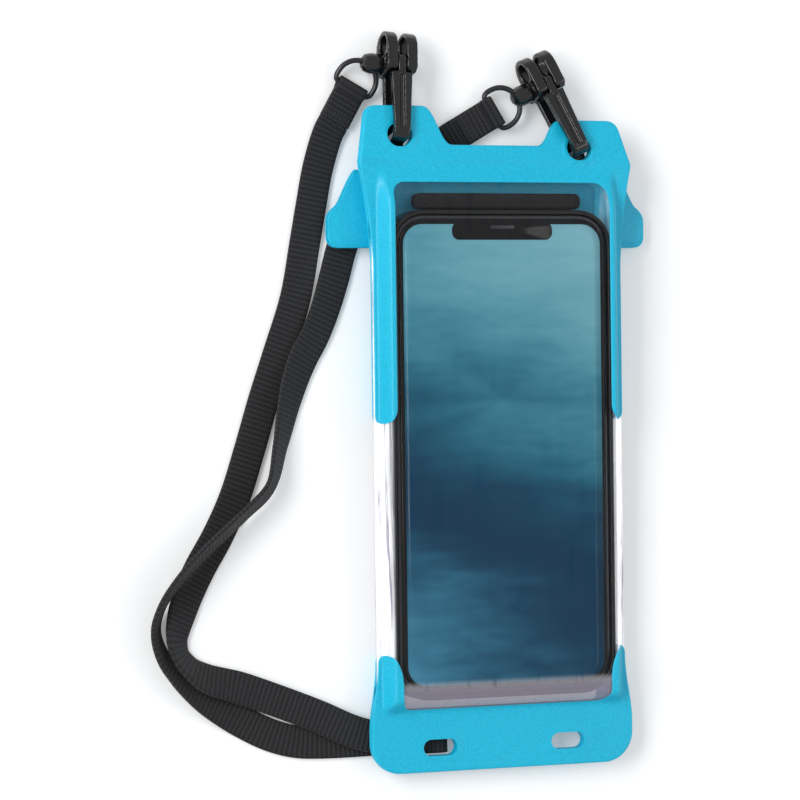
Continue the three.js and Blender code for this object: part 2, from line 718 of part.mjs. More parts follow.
// Each end of the strap is folded round its ring's bar and sewn back on itself.
function strapEnd(side) {
  const { bar, away, axis } = ringEnd[side];
  const along = new THREE.Vector3(away.x, away.y, 0).normalize();
  along.z = (strapLift + strapThickness - bar.z) / strapEndLength;
  along.addScaledVector(axis, -along.dot(axis)).normalize();
  const across = axis.clone().multiplyScalar(Math.sign(along.x * axis.y - along.y * axis.x));
  const outward = new THREE.Vector3().crossVectors(across, along);
  const outer = wireRadius + gap + strapThickness;
  const meet = Math.asin(strapThickness / outer);
  const shape = new THREE.Shape();
  shape.moveTo(strapEndLength, strapThickness);
  shape.absarc(0, 0, outer, meet, 2 * Math.PI - meet);
  shape.lineTo(strapEndLength, -strapThickness);
  shape.closePath();
  const eye = new THREE.Path();
  eye.absarc(0, 0, wireRadius + gap, 0, 2 * Math.PI);
  shape.holes.push(eye);
  const settings = { depth: strapWidth, bevelEnabled: false, curveSegments: 10 };
  const geometry = new THREE.ExtrudeGeometry(shape, settings);
  geometry.translate(0, 0, -strapWidth / 2);
  geometry.applyMatrix4(new THREE.Matrix4().makeBasis(along, outward, across));
  geometry.translate(bar.x, bar.y, bar.z);
  const tip = bar.clone().addScaledVector(along, strapEndLength + gap);
  return { mesh: piece(`${side}_strap_end`, solidOf(geometry), finish(colours.web, 0.9)), tip, along };
}

// The strap's route on the floor, from each ring down to the turn under the fin.
// Each point: x, y, height over the floor, and roll in degrees, 0 where the webbing lies flat.
const leftRoute = [
  [-57.4, 94, 0, 0],
  [-60, 82, 0, 0],
  [-62.6, 69, 0, 0],
  [-66.2, 51.5, 0, 0],
  [-72.6, 33.2, 0, 0],
  [-78, 18.1, 0, 0],
  [-82.9, 3, 0, 0],
  [-88.4, -12.6, 0, 0],
  [-94.3, -24.5, 0, 0],
  [-101.4, -36.3, 0, 0],
  [-107.1, -48.2, 0, -16],
  [-109.6, -56.5, 0, -38],
  [-108.6, -62, 0, -48],
  [-105.2, -66.3, 0.3, -46],
  [-100.4, -69.5, 1, -30],
  [-88.7, -73.2, 1.6, -8],
  [-75.8, -78.1, 1.6, 0],
  [-62.8, -83.4, 1.8, 0],
  [-49.6, -89.4, 2.6, 0],
  [-38, -92, 2.7, 0],
  [-26, -92.2, 2.7, 0],
];
const rightRoute = [
  [-25, 94.2, 0, 0],
  [-38, 86, 0, 0],
  [-45.4, 77.5, 0, 0],
  [-49.8, 68, 0, 0],
  [-52.8, 58, 0, 0],
  [-56.2, 48.4, 0, -10],
  [-60.2, 39.2, 0, -12],
  [-65, 30.7, 0, -14],
  [-69.5, 19.5, 0, -30],
  [-73.8, 4, 0, -50],
  [-78, -9.3, 1.2, -60],
  [-86.1, -17, 2, -64],
  [-95, -24.5, 2.3, -64],
  [-102, -30.4, 2.8, -64],
  [-110, -38.2, 3.6, -66],
  [-115.3, -46.6, 1.8, -66],
  [-116.8, -54, 0, -62],
  [-114.8, -61.7, 0, -56],
  [-110.4, -67.4, 0, -46],
  [-105, -72.4, 0, -32],
  [-98.3, -77.5, 0, -16],
  [-88.7, -83.5, 0, 0],
  [-79, -88.6, 0, 0],
  [-70, -91.4, 0, 0],
  [-60, -92.2, 0, 0],
  [-42, -92.2, 0, 0],
  [-26, -92.2, 0, 0],
];
const turnX = -20;
const turnY = -92.2;

// The route point's place on the webbing's centre line, with its roll in radians.
function laid([x, y, base, roll]) {
  const turn = Math.abs(roll) * degree;
  const rise = strapLift + base + (strapWidth / 2) * Math.sin(turn) + (strapThickness / 2) * Math.cos(turn);
  return { at: new THREE.Vector3(x, y, rise), roll: roll * degree };
}

// The centre line from the left ring, round under the fin and back up to the right ring.
function strapStations(leftEnd, rightEnd) {
  const down = leftRoute.map(laid);
  const back = rightRoute.map(laid).reverse();
  const high = down.at(-1).at.z;
  const low = back[0].at.z;
  const bend = (high - low) / 2;
  const turn = between(90, -90, 6).map((angle) => {
    const x = turnX + bend * Math.cos(angle * degree);
    const z = (high + low) / 2 + bend * Math.sin(angle * degree);
    return { at: new THREE.Vector3(x, turnY, z), roll: 0 };
  });
  const lead = ({ tip, along }) => (
    [0, 4].map((d) => ({ at: tip.clone().addScaledVector(along, d), roll: 0 }))
  );
  return [...lead(leftEnd), ...down, ...turn, ...back, ...lead(rightEnd).reverse()];
}

// Flat webbing swept along the stations; a negative roll lifts its left-hand edge.
function strapPiece(stations) {
  const curve = new THREE.CatmullRomCurve3(stations.map((s) => s.at), false, 'centripetal');
  const count = (stations.length - 1) * 2;
  const position = [];
  let across = new THREE.Vector3(1, 0, 0);
  for (let k = 0; k <= count; k += 1) {
    const i = Math.min(Math.floor(k / 2), stations.length - 2);
    const roll = THREE.MathUtils.lerp(stations[i].roll, stations[i + 1].roll, k / 2 - i);
    const at = curve.getPoint(k / count);
    const ahead = curve.getTangent(k / count);
    if (Math.hypot(ahead.x, ahead.y) > 0.7) {
      const level = new THREE.Vector3(-ahead.y, ahead.x, 0).normalize();
      across = level.dot(across) < 0 ? level.negate() : level;
    }
    const wide = across.clone().multiplyScalar(Math.cos(roll));
    wide.z += Math.sin(roll);
    wide.addScaledVector(ahead, -wide.dot(ahead)).normalize();
    const thick = new THREE.Vector3().crossVectors(ahead, wide);
    for (const [w, n] of [[-1, -1], [1, -1], [1, 1], [-1, 1]]) {
      const corner = at.clone();
      corner.addScaledVector(wide, (w * strapWidth) / 2);
      corner.addScaledVector(thick, (n * strapThickness) / 2);
      position.push(corner.x, corner.y, corner.z);
    }
  }
  const index = [0, 2, 1, 0, 3, 2];
  for (let k = 0; k < count; k += 1) {
    for (let s = 0; s < 4; s += 1) {
      const a = k * 4 + s;
      const b = k * 4 + ((s + 1) % 4);
      index.push(a, b, b + 4, a, b + 4, a + 4);
    }
  }
  const last = count * 4;
  index.push(last, last + 1, last + 2, last, last + 2, last + 3);
  const geometry = new THREE.BufferGeometry();
  geometry.setAttribute('position', new THREE.Float32BufferAttribute(position, 3));
  geometry.setIndex(index);
  return piece('strap', geometry, finish(colours.web, 0.9));
}

const strapEnds = { left: strapEnd('left'), right: strapEnd('right') };
const strap = strapPiece(strapStations(strapEnds.left, strapEnds.right));

// The origin is under the middle of everything but the strap, on the floor.
part.updateMatrixWorld(true);
const extent = new THREE.Box3().setFromObject(part, true);
const middle = extent.getCenter(new THREE.Vector3());
part.add(strapEnds.left.mesh, strapEnds.right.mesh, strap);
part.position.set(-middle.x, -middle.y, -extent.min.z);
const root = new THREE.Group();
root.add(part);

export default root;
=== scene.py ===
"""Waterproof phone pouch lying on its back, with its snap clips and neck strap.

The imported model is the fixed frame: metres, +X to the pouch's right, +Y to its top end, +Z up.
"""

import bmesh
import bpy
import numpy as np
from mathutils import Matrix


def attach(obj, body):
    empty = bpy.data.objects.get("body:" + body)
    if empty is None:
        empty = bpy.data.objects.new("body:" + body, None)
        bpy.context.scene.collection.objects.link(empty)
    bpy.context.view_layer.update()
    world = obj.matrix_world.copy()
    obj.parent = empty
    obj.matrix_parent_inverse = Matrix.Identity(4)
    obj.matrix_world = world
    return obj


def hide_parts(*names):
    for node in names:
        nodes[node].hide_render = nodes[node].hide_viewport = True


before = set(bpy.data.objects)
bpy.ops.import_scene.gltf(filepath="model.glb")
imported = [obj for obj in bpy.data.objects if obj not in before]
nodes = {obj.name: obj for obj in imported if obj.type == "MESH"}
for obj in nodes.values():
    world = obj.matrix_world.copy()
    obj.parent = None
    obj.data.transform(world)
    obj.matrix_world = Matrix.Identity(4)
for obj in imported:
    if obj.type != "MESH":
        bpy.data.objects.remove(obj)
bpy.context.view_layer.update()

# Camera
# A short telephoto view from above the pouch's left side, at the angle of the photograph.
# The lens is long, so that the pouch's sides stay nearly parallel.


def add_object(name, data):
    """An object of some data, linked to the scene."""
    thing = bpy.data.objects.new(name, data)
    bpy.context.scene.collection.objects.link(thing)
    return thing


def stand(thing, right, up, back, spot):
    """Puts a thing at a spot, with its own axes along right, up and back."""
    stance = Matrix.Identity(4)
    for axis, column in enumerate((right, up, back, spot)):
        for line in range(3):
            stance[line][axis] = column[line]
    thing.matrix_world = stance


eye = np.array([-0.41033, -0.01948, 1.01730])
yaw, pitch, roll = np.radians([20.464, 1.058, -1.402])
camera_data = bpy.data.cameras.new("studio_camera")
camera_data.lens = 149.55
camera_data.sensor_width = 36.0
camera = add_object("studio_camera", camera_data)
ahead = np.array([np.sin(yaw) * np.cos(pitch), np.sin(pitch), -np.cos(yaw) * np.cos(pitch)])
rightward = np.cross(ahead, [0.0, 1.0, 0.0])
rightward /= np.linalg.norm(rightward)
upward = np.cross(rightward, ahead)
turned = rightward * np.cos(roll) + upward * np.sin(roll)
raised = upward * np.cos(roll) - rightward * np.sin(roll)
stand(camera, turned, raised, -ahead, eye)
bpy.context.scene.camera = camera
bpy.context.scene.view_settings.view_transform = "Standard"

# Floor, lamps and sky
# A plain white studio floor with a soft key lamp from the upper left and a weak fill from the right.
# The floor and sky show as white, while the lamps stay at a plain level for the object.


def add(tree, kind):
    """A new shader node of a kind in a node tree."""
    return tree.nodes.new("ShaderNode" + kind)


def link(tree, source, socket):
    """Links an output to an input."""
    tree.links.new(source, socket)


def new_material(name):
    """An empty node material, its node tree and its output."""
    material = bpy.data.materials.new(name)
    material.use_nodes = True
    tree = material.node_tree
    tree.nodes.clear()
    output = add(tree, "OutputMaterial")
    return material, tree, output


def math_node(tree, operation, first, second=None):
    """A Math node with links or numbers as its inputs; its result."""
    node = add(tree, "Math")
    node.operation = operation
    for place, value in enumerate((first, second)):
        if value is None:
            continue
        if isinstance(value, (int, float)):
            node.inputs[place].default_value = value
        else:
            link(tree, value, node.inputs[place])
    return node.outputs[0]


def remap(tree, value, low=0.0, high=1.0, to_low=0.0, to_high=1.0, kind="LINEAR"):
    """A value's run from low to high, moved onto another run and held within it."""
    node = add(tree, "MapRange")
    node.interpolation_type = kind
    for name, number in (("From Min", low), ("From Max", high), ("To Min", to_low), ("To Max", to_high)):
        node.inputs[name].default_value = number
    link(tree, value, node.inputs["Value"])
    return node.outputs[0]


floor_half = 4.0
floor_lift = 0.2
floor_mesh = bpy.data.meshes.new("studio_floor")
floor_corners = [(-floor_half, -floor_half, 0), (floor_half, -floor_half, 0)]
floor_corners += [(floor_half, floor_half, 0), (-floor_half, floor_half, 0)]
floor_mesh.from_pydata(floor_corners, [], [(0, 1, 2, 3)])
floor = add_object("studio_floor", floor_mesh)
floor_material, tree, output = new_material("studio_floor_white")
paper = add(tree, "BsdfDiffuse")
paper.inputs["Color"].default_value = (0.93, 0.935, 0.94, 1.0)
lift = add(tree, "Emission")
lift.inputs["Color"].default_value = (1.0, 1.0, 1.0, 1.0)
sight = add(tree, "LightPath")
seen_lift = math_node(tree, "MULTIPLY", sight.outputs["Is Camera Ray"], floor_lift)
link(tree, seen_lift, lift.inputs["Strength"])
both = add(tree, "AddShader")
link(tree, paper.outputs[0], both.inputs[0])
link(tree, lift.outputs[0], both.inputs[1])
link(tree, both.outputs[0], output.inputs["Surface"])
floor_mesh.materials.append(floor_material)

sky = bpy.data.worlds.new("studio_sky")
sky.use_nodes = True
tree = sky.node_tree
tree.nodes.clear()
sky_output = add(tree, "OutputWorld")
sky_light = add(tree, "Background")
sky_light.inputs["Color"].default_value = (0.97, 0.985, 1.0, 1.0)
ray = add(tree, "LightPath").outputs
sky_seen = math_node(tree, "MAXIMUM", ray["Is Camera Ray"], ray["Is Transmission Ray"])
link(tree, remap(tree, sky_seen, to_low=0.5), sky_light.inputs["Strength"])
link(tree, sky_light.outputs[0], sky_output.inputs["Surface"])
bpy.context.scene.world = sky


def softbox(name, place, target, size, power):
    """A rectangular area lamp at place that faces target."""
    data = bpy.data.lights.new(name, "AREA")
    data.shape = "RECTANGLE"
    data.size, data.size_y = size
    data.energy = power
    lamp = add_object(name, data)
    aim = np.array(target, float) - np.array(place, float)
    aim /= np.linalg.norm(aim)
    side = np.cross(aim, [0.0, 1.0, 0.05])
    side /= np.linalg.norm(side)
    top = np.cross(side, aim)
    stand(lamp, side, top, -aim, place)


softbox("key_softbox", (-1.15, 0.35, 0.95), (0.0, 0.0, 0.0), (0.5, 1.1), 15.0)
softbox("fill_softbox", (1.1, -0.1, 1.2), (0.0, 0.0, 0.0), (0.4, 1.0), 3.0)

# Neck strap
# Flat black webbing about 10 mm wide, woven with fine cross ribs, one length from ring to ring.
# It lies loose on the floor, stands partly on edge where it turns, and folds back under the fin.
strap_width = 0.0105
strap_thickness = 0.0012
rib_pitch, yarn_pitch = 0.0016, 0.0009
# Centre line from the CAD in millimetres, with the roll in degrees; a negative roll lifts the left edge.
strap_stations = np.array([
    (-51.89, 91.05, 1.38, 0), (-53.83, 87.56, 1.15, 0), (-57.4, 76.64, 0.8, 0), (-60, 64.64, 0.8, 0),
    (-62.6, 51.64, 0.8, 0), (-66.2, 34.14, 0.8, 0), (-72.6, 15.84, 0.8, 0), (-78, 0.74, 0.8, 0),
    (-82.9, -14.36, 0.8, 0), (-88.4, -29.96, 0.8, 0), (-94.3, -41.86, 0.8, 0), (-101.4, -53.66, 0.8, 0),
    (-107.1, -65.56, 2.22, -16), (-109.6, -73.86, 3.91, -38), (-108.6, -79.36, 4.5, -48),
    (-105.2, -83.66, 4.69, -46), (-100.4, -86.86, 4.34, -30), (-88.7, -90.56, 3.12, -8),
    (-75.8, -95.46, 2.4, 0), (-62.8, -100.76, 2.6, 0), (-49.6, -106.76, 3.4, 0), (-38, -109.36, 3.5, 0),
    (-26, -109.56, 3.5, 0), (-20, -109.56, 3.5, 0), (-19.32, -109.56, 3.32, 0),
    (-18.83, -109.56, 2.83, 0), (-18.65, -109.56, 2.15, 0), (-18.83, -109.56, 1.48, 0),
    (-19.32, -109.56, 0.98, 0), (-20, -109.56, 0.8, 0), (-26, -109.56, 0.8, 0), (-42, -109.56, 0.8, 0),
    (-60, -109.56, 0.8, 0), (-70, -108.76, 0.8, 0), (-79, -105.96, 0.8, 0), (-88.7, -100.86, 0.8, 0),
    (-98.3, -94.86, 2.22, -16), (-105, -89.76, 3.49, -32), (-110.4, -84.76, 4.39, -46),
    (-114.8, -79.06, 4.89, -56), (-116.8, -71.36, 5.12, -62), (-115.3, -63.96, 7.04, -66),
    (-110, -55.56, 8.84, -66), (-102, -47.76, 7.98, -64), (-95, -41.86, 7.48, -64),
    (-86.1, -34.36, 7.18, -64), (-78, -26.66, 6.25, -60), (-73.8, -13.36, 4.61, -50),
    (-69.5, 2.14, 3.34, -30), (-65, 13.34, 2.05, -14), (-60.2, 21.84, 1.88, -12),
    (-56.2, 31.04, 1.7, -10), (-52.8, 40.64, 0.8, 0), (-49.8, 50.64, 0.8, 0), (-45.4, 60.14, 0.8, 0),
    (-38, 68.64, 0.8, 0), (-25, 76.84, 0.8, 0), (-10.91, 86.46, 0.95, 0), (-7.49, 88.49, 1.38, 0),
])


def catmull_rom(points, steps):
    """Centripetal Catmull-Rom curve through all points, by the Barry-Goldman pyramid of linear blends."""
    ends = [2 * points[:1] - points[1:2], points, 2 * points[-1:] - points[-2:-1]]
    p = np.concatenate(ends)
    spans = np.linalg.norm(np.diff(p[:, :3], axis=0), axis=1) ** 0.5
    knots = np.concatenate([[0.0], np.cumsum(spans)])
    count = len(points) - 1
    share = np.tile(np.arange(steps) / steps, count)
    i = np.repeat(np.arange(count), steps)
    share = np.append(share, 1.0)
    i = np.append(i, count - 1)
    t0, t1, t2, t3 = (knots[i + k][:, None] for k in range(4))
    p0, p1, p2, p3 = (p[i + k] for k in range(4))
    t = t1 + share[:, None] * (t2 - t1)
    a1 = (t1 - t) / (t1 - t0) * p0 + (t - t0) / (t1 - t0) * p1
    a2 = (t2 - t) / (t2 - t1) * p1 + (t - t1) / (t2 - t1) * p2
    a3 = (t3 - t) / (t3 - t2) * p2 + (t - t2) / (t3 - t2) * p3
    b1 = (t2 - t) / (t2 - t0) * a1 + (t - t0) / (t2 - t0) * a2
    b2 = (t3 - t) / (t3 - t1) * a2 + (t - t1) / (t3 - t1) * a3
    return (t2 - t) / (t2 - t1) * b1 + (t - t1) / (t2 - t1) * b2


def directions(line):
    """Unit tangents of a sampled line, by central differences."""
    step = np.gradient(line, axis=0)
    return step / np.linalg.norm(step, axis=1, keepdims=True)


def grid_faces(rows, columns, wrap_columns=False):
    """Quads of a grid of points stored row after row, closed across the columns where asked."""
    r = np.arange(rows - 1)[:, None]
    c = np.arange(columns if wrap_columns else columns - 1)[None, :]
    d = (c + 1) % columns
    quads = [r * columns + c, r * columns + d, (r + 1) * columns + d, (r + 1) * columns + c]
    return np.stack(quads, axis=-1).reshape(-1, 4)


def make_piece(name, shape, material, node=None, body="pouch"):
    """A mesh piece from points in metres and faces, and a uv pair per point where there is one.

    It can stand for CAD nodes.
    """
    points, faces, *weave_uv = shape
    mesh = bpy.data.meshes.new(name)
    faces = faces.tolist() if isinstance(faces, np.ndarray) else faces
    mesh.from_pydata(np.asarray(points, float), [], [tuple(face) for face in faces])
    if weave_uv:
        layer = mesh.uv_layers.new(name="weave")
        corner = np.empty(len(mesh.loops), np.int32)
        mesh.loops.foreach_get("vertex_index", corner)
        layer.data.foreach_set("uv", np.asarray(weave_uv[0], np.float32)[corner].ravel())
    mesh.polygons.foreach_set("use_smooth", np.ones(len(mesh.polygons), bool))
    mesh.materials.append(material)
    mesh.validate()
    mesh.update()
    piece = add_object(name, mesh)
    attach(piece, body)
    if node:
        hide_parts(*([node] if isinstance(node, str) else node))
    return piece


def webbing_mesh(line, wide, width, thickness):
    """Points, faces and weave coordinates of a flat band: a rounded oblong section carried along a line.

    Each section point is centre + wide * w + thick * n, with (w, n) going once round the oblong.
    """
    ahead = directions(line)
    wide = wide - ahead * np.sum(wide * ahead, axis=1, keepdims=True)
    wide = wide / np.linalg.norm(wide, axis=1, keepdims=True)
    thick = np.cross(ahead, wide)
    flat = np.linspace(-0.96, 0.96, 9)
    w = np.concatenate([flat, [1.0], flat[::-1], [-1.0]]) * width / 2
    n = np.concatenate([-np.ones(9), [0.0], np.ones(9), [0.0]]) * thickness / 2
    points = line[:, None] + wide[:, None] * w[None, :, None] + thick[:, None] * n[None, :, None]
    count, around = points.shape[:2]
    faces = [tuple(q) for q in grid_faces(count, around, True).tolist()]
    faces.append(tuple(range(around))[::-1])
    faces.append(tuple(range((count - 1) * around, count * around)))
    travel = np.concatenate([[0.0], np.cumsum(np.linalg.norm(np.diff(line, axis=0), axis=1))])
    uv = np.stack(np.broadcast_arrays(w[None, :], travel[:, None]), axis=-1)
    return points.reshape(-1, 3), faces, uv.reshape(-1, 2)


def face_outward(piece):
    """Turns the faces of a closed mesh outwards."""
    form = bmesh.new()
    form.from_mesh(piece.data)
    bmesh.ops.remove_doubles(form, verts=form.verts, dist=1e-7)
    bmesh.ops.recalc_face_normals(form, faces=form.faces)
    form.to_mesh(piece.data)
    form.free()
    return piece


def shaded(name, roughness, specular=0.5):
    """A material with a Principled shader on its surface: itself, its node tree and the shader."""
    material, tree, output = new_material(name)
    shader = add(tree, "BsdfPrincipled")
    shader.inputs["Roughness"].default_value = roughness
    shader.inputs["Specular IOR Level"].default_value = specular
    link(tree, shader.outputs[0], output.inputs["Surface"])
    return material, tree, shader


def colour_mix(tree, share, first, second):
    """Colour between two RGB triples by share."""
    mix = add(tree, "Mix")
    mix.data_type = "RGBA"
    mix.inputs["A"].default_value = (*first, 1.0)
    mix.inputs["B"].default_value = (*second, 1.0)
    link(tree, share, mix.inputs["Factor"])
    return mix.outputs["Result"]


def colour_by(tree, shader, share, first, second):
    """Colours a shader between two RGB triples by share."""
    link(tree, colour_mix(tree, share, first, second), shader.inputs["Base Color"])


def noise(tree, place, scale, detail=3.0, rough=0.55):
    """Noise over a coordinate, as a value about a half."""
    node = add(tree, "TexNoise")
    node.inputs["Scale"].default_value = scale
    node.inputs["Detail"].default_value = detail
    node.inputs["Roughness"].default_value = rough
    link(tree, place, node.inputs["Vector"])
    return node.outputs["Fac"]


def split_axes(tree, place):
    """The X and the Y of a coordinate."""
    node = add(tree, "SeparateXYZ")
    link(tree, place, node.inputs[0])
    return node.outputs[0], node.outputs[1]


def bump(tree, height, distance, shader, strength=1.0):
    """Bumps a shader by a height in units of distance, in metres."""
    node = add(tree, "Bump")
    node.inputs["Distance"].default_value = distance
    node.inputs["Strength"].default_value = strength
    link(tree, height, node.inputs["Height"])
    link(tree, node.outputs[0], shader.inputs["Normal"])


# Woven cross ribs from sines of the length, a finer warp across the width, and fuzz on the rib tops; the
# colour follows this relief as painted shade, darker in the grooves and lighter on the rib tops.
webbing, tree, shader = shaded("woven_black_webbing", 0.78, 0.35)
shader.inputs["Sheen Weight"].default_value = 0.1
shader.inputs["Sheen Roughness"].default_value = 0.5
weave = add(tree, "UVMap")
weave.uv_map = "weave"
across, along = split_axes(tree, weave.outputs[0])
ribs = math_node(tree, "MULTIPLY", along, 2 * np.pi / rib_pitch)
along_rib = math_node(tree, "SINE", ribs)
shifted = math_node(tree, "MULTIPLY", along_rib, 0.9)
across_yarn = math_node(tree, "MULTIPLY", across, 2 * np.pi / yarn_pitch)
yarn = math_node(tree, "SINE", math_node(tree, "ADD", across_yarn, shifted))
relief = math_node(tree, "ADD", along_rib, math_node(tree, "MULTIPLY", yarn, 0.45))
fuzz = noise(tree, weave.outputs[0], 900.0)
relief = math_node(tree, "ADD", relief, math_node(tree, "MULTIPLY", fuzz, 0.6))
# Painted shade: the webbing is darker in the grooves of its weave and lighter on its rib tops.
shade = remap(tree, relief, -1.3, 1.7)
colour_by(tree, shader, shade, (0.003, 0.003, 0.0035), (0.03, 0.03, 0.033))
bump(tree, relief, 0.00012, shader)

millimetre = 0.001
strap_curve = catmull_rom(strap_stations[:, :3] * millimetre, 6)
strap_roll = np.radians(np.interp(np.linspace(0, len(strap_stations) - 1, len(strap_curve)),
                                  np.arange(len(strap_stations)), strap_stations[:, 3]))
strap_ahead = directions(strap_curve)
level = np.stack([-strap_ahead[:, 1], strap_ahead[:, 0], 0 * strap_ahead[:, 0]], axis=1)
# The width keeps its side from station to station, so the band never flips over, even round the hairpin.
steep = np.linalg.norm(level, axis=1) < 0.7
level[steep] = (0.0, 1.0, 0.0)
level /= np.linalg.norm(level, axis=1, keepdims=True)
turns = np.sign(np.sum(level[1:] * level[:-1], axis=1))
level *= np.concatenate([[1.0], np.cumprod(turns)])[:, None]
strap_wide = level * np.cos(strap_roll)[:, None] + np.array([0.0, 0.0, 1.0]) * np.sin(strap_roll)[:, None]
strap_shape = webbing_mesh(strap_curve, strap_wide, strap_width, strap_thickness)
strap = make_piece("neck_strap", strap_shape, webbing, "strap")
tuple(strap_curve[0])

# Sewn strap ends
# Each end of the webbing goes round its ring's bar and is sewn flat to itself with four rows of thread.
end_reach = 0.012
bar_radius = 0.001
fold_radius = bar_radius + 0.0003 + strap_thickness / 2
end_frames = {
    "left": ((-45.9113, 101.7792, 2.1046), (-0.4857, -0.8722, -0.0586), (0.8737, -0.4865, 0.0)),
    "right": ((3.0339, 94.7214, 2.6854), (-0.8554, -0.507, -0.1065), (0.5099, -0.8603, 0.0)),
}
thread, tree, shader = shaded("black_sewing_thread", 0.6, 0.4)
twist = add(tree, "TexCoord")
strands = noise(tree, twist.outputs["Object"], 2400.0)
colour_by(tree, shader, strands, (0.008, 0.008, 0.009), (0.06, 0.06, 0.065))
bump(tree, strands, 0.00005, shader)


def stitch_rows(origin, along, wide, normal, starts, half_width, count):
    """Rows of stitches across the webbing, each a squashed ball: centre + radius times a unit ball."""
    theta = np.linspace(0, np.pi, 7)[:, None]
    phi = np.linspace(0, 2 * np.pi, 9)[:-1][None, :]
    round_x, round_y = np.sin(theta) * np.cos(phi), np.sin(theta) * np.sin(phi)
    ball = np.stack(np.broadcast_arrays(round_x, round_y, np.cos(theta)), -1)
    ball = ball.reshape(-1, 3)
    sizes = np.array([0.00022, 0.00052, 0.00018])
    spots = np.linspace(-half_width, half_width, count)
    centres = [origin + along * s + wide * w for s in starts for w in spots]
    shape = ball[:, :1] * sizes[0] * along + ball[:, 1:2] * sizes[1] * wide + ball[:, 2:] * sizes[2] * normal
    points = (np.array(centres)[:, None] + shape[None]).reshape(-1, 3)
    face = grid_faces(7, 8, True)
    faces = (face[None] + (np.arange(len(centres)) * len(ball))[:, None, None]).reshape(-1, 4)
    return points, faces


for side, (bar, along, axis) in end_frames.items():
    bar = np.array(bar) * millimetre
    along = np.array(along) / np.linalg.norm(along)
    axis = np.array(axis) / np.linalg.norm(axis)
    axis = axis * np.sign(along[0] * axis[1] - along[1] * axis[0])
    outward = np.cross(axis, along)
    leave = np.arcsin((strap_thickness / 2) / fold_radius)
    turn = np.linspace(leave, 2 * np.pi - leave, 40)
    arc = np.stack([fold_radius * np.cos(turn), fold_radius * np.sin(turn)], axis=1)
    run = np.linspace(end_reach, arc[0, 0], 10)[:-1]
    top = np.stack([run, np.full_like(run, strap_thickness / 2 + 0.00003)], axis=1)
    bottom = top[::-1] * (1, -1)
    flat = np.concatenate([top, arc, bottom])
    line = bar + flat[:, :1] * along + flat[:, 1:] * outward
    end_wide = np.tile(axis, (len(line), 1))
    shape = webbing_mesh(line, end_wide, strap_width - 0.0001, strap_thickness)
    loop = make_piece(f"{side}_sewn_end", shape, webbing, f"{side}_strap_end")
    face_side = outward * np.sign(outward[2])
    seam = bar + face_side * (strap_thickness + 0.00005)
    shape = stitch_rows(seam, along, axis, face_side, (0.0052, 0.0068, 0.0095, 0.0108), 0.0041, 7)
    rows = make_piece(f"{side}_stitches", shape, thread)
    face_outward(rows)

# Phone case
# A soft black bumper round the phone, moulded in one, with a rounded back edge and a lip in front.
# It sits tight between the films, and the pouch's slight lean comes from the closure under its head.
head_lift, lean_run = 5.0, 146.8
lean = np.arcsin(head_lift / lean_run)
case_half = np.array([38.9, 79.4])
shift = np.array([0.0, -17.3574, case_half[1] * np.sin(lean)])
case_floor, case_top = 1.7, 11.6


def set_down(points):
    """Pouch millimetres to row metres: turned by the lean about X, then moved."""
    p = np.asarray(points, float)
    y = p[..., 1] * np.cos(lean) - p[..., 2] * np.sin(lean)
    z = p[..., 1] * np.sin(lean) + p[..., 2] * np.cos(lean)
    return (np.stack([p[..., 0], y, z], axis=-1) + shift) * millimetre


def stack_rings(flat, heights):
    """Points of flat rings, each ring at one height, set down in the row's frame."""
    z = np.broadcast_to(np.asarray(heights)[:, None, None], (*flat.shape[:2], 1))
    return set_down(np.concatenate([flat, z], axis=-1)).reshape(-1, 3)


def rounded_outline(half_x, low, high, corner, per_corner=10, per_side=24):
    """Outline of a rounded oblong, anticlockwise: quarter circles joined by straight sides."""
    middle = np.array([(1, -1), (1, 1), (-1, 1), (-1, -1)])
    pieces = []
    for k, (sx, sy) in enumerate(middle):
        centre = np.array([sx * (half_x - corner), (high if sy > 0 else low) - sy * corner])
        turn = np.linspace(-np.pi / 2, 0, per_corner) + k * np.pi / 2
        pieces.append(centre + corner * np.stack([np.cos(turn), np.sin(turn)], axis=1))
        nxt = middle[(k + 1) % 4]
        after = np.array([nxt[0] * (half_x - corner), (high if nxt[1] > 0 else low) - nxt[1] * corner])
        turn0 = k * np.pi / 2
        end = centre + corner * np.array([np.cos(turn0), np.sin(turn0)])
        start = after + corner * np.array([np.cos(turn0), np.sin(turn0)])
        share = np.linspace(0, 1, per_side + 2)[1:-1, None]
        pieces.append(end * (1 - share) + start * share)
    return np.concatenate(pieces)


def outline_normals(outline):
    """Outward unit normals of an anticlockwise outline."""
    step = np.roll(outline, -1, axis=0) - np.roll(outline, 1, axis=0)
    normal = np.stack([step[:, 1], -step[:, 0]], axis=1)
    return normal / np.linalg.norm(normal, axis=1, keepdims=True)


def slab_mesh(outline, profile):
    """A closed slab: rings of the outline, each set in by profile[k][0] at height profile[k][1].

    The first and last rings are filled towards the centre line by rings that shrink to it.
    """
    normal = outline_normals(outline)
    centre = np.stack([np.zeros(len(outline)), outline[:, 1] * 0.9], axis=1)
    rings = [outline - normal * inset for inset, _ in profile]
    heights = [height for _, height in profile]
    shrink = [0.75, 0.5, 0.25, 0.0]
    first = [centre + (rings[0] - centre) * s for s in shrink[::-1]]
    last = [centre + (rings[-1] - centre) * s for s in shrink]
    flat = np.array(first + rings + last)
    heights = [heights[0]] * 4 + heights + [heights[-1]] * 4
    return stack_rings(flat, heights), grid_faces(len(flat), len(outline), True)


def quarter(radius, centre_in, centre_z, start, stop, steps=6):
    """Profile points of a rounded edge: (inset, height) round a circle from one angle to another."""
    turn = np.radians(np.linspace(start, stop, steps))
    return [(centre_in - radius * np.cos(t), centre_z + radius * np.sin(t)) for t in turn]


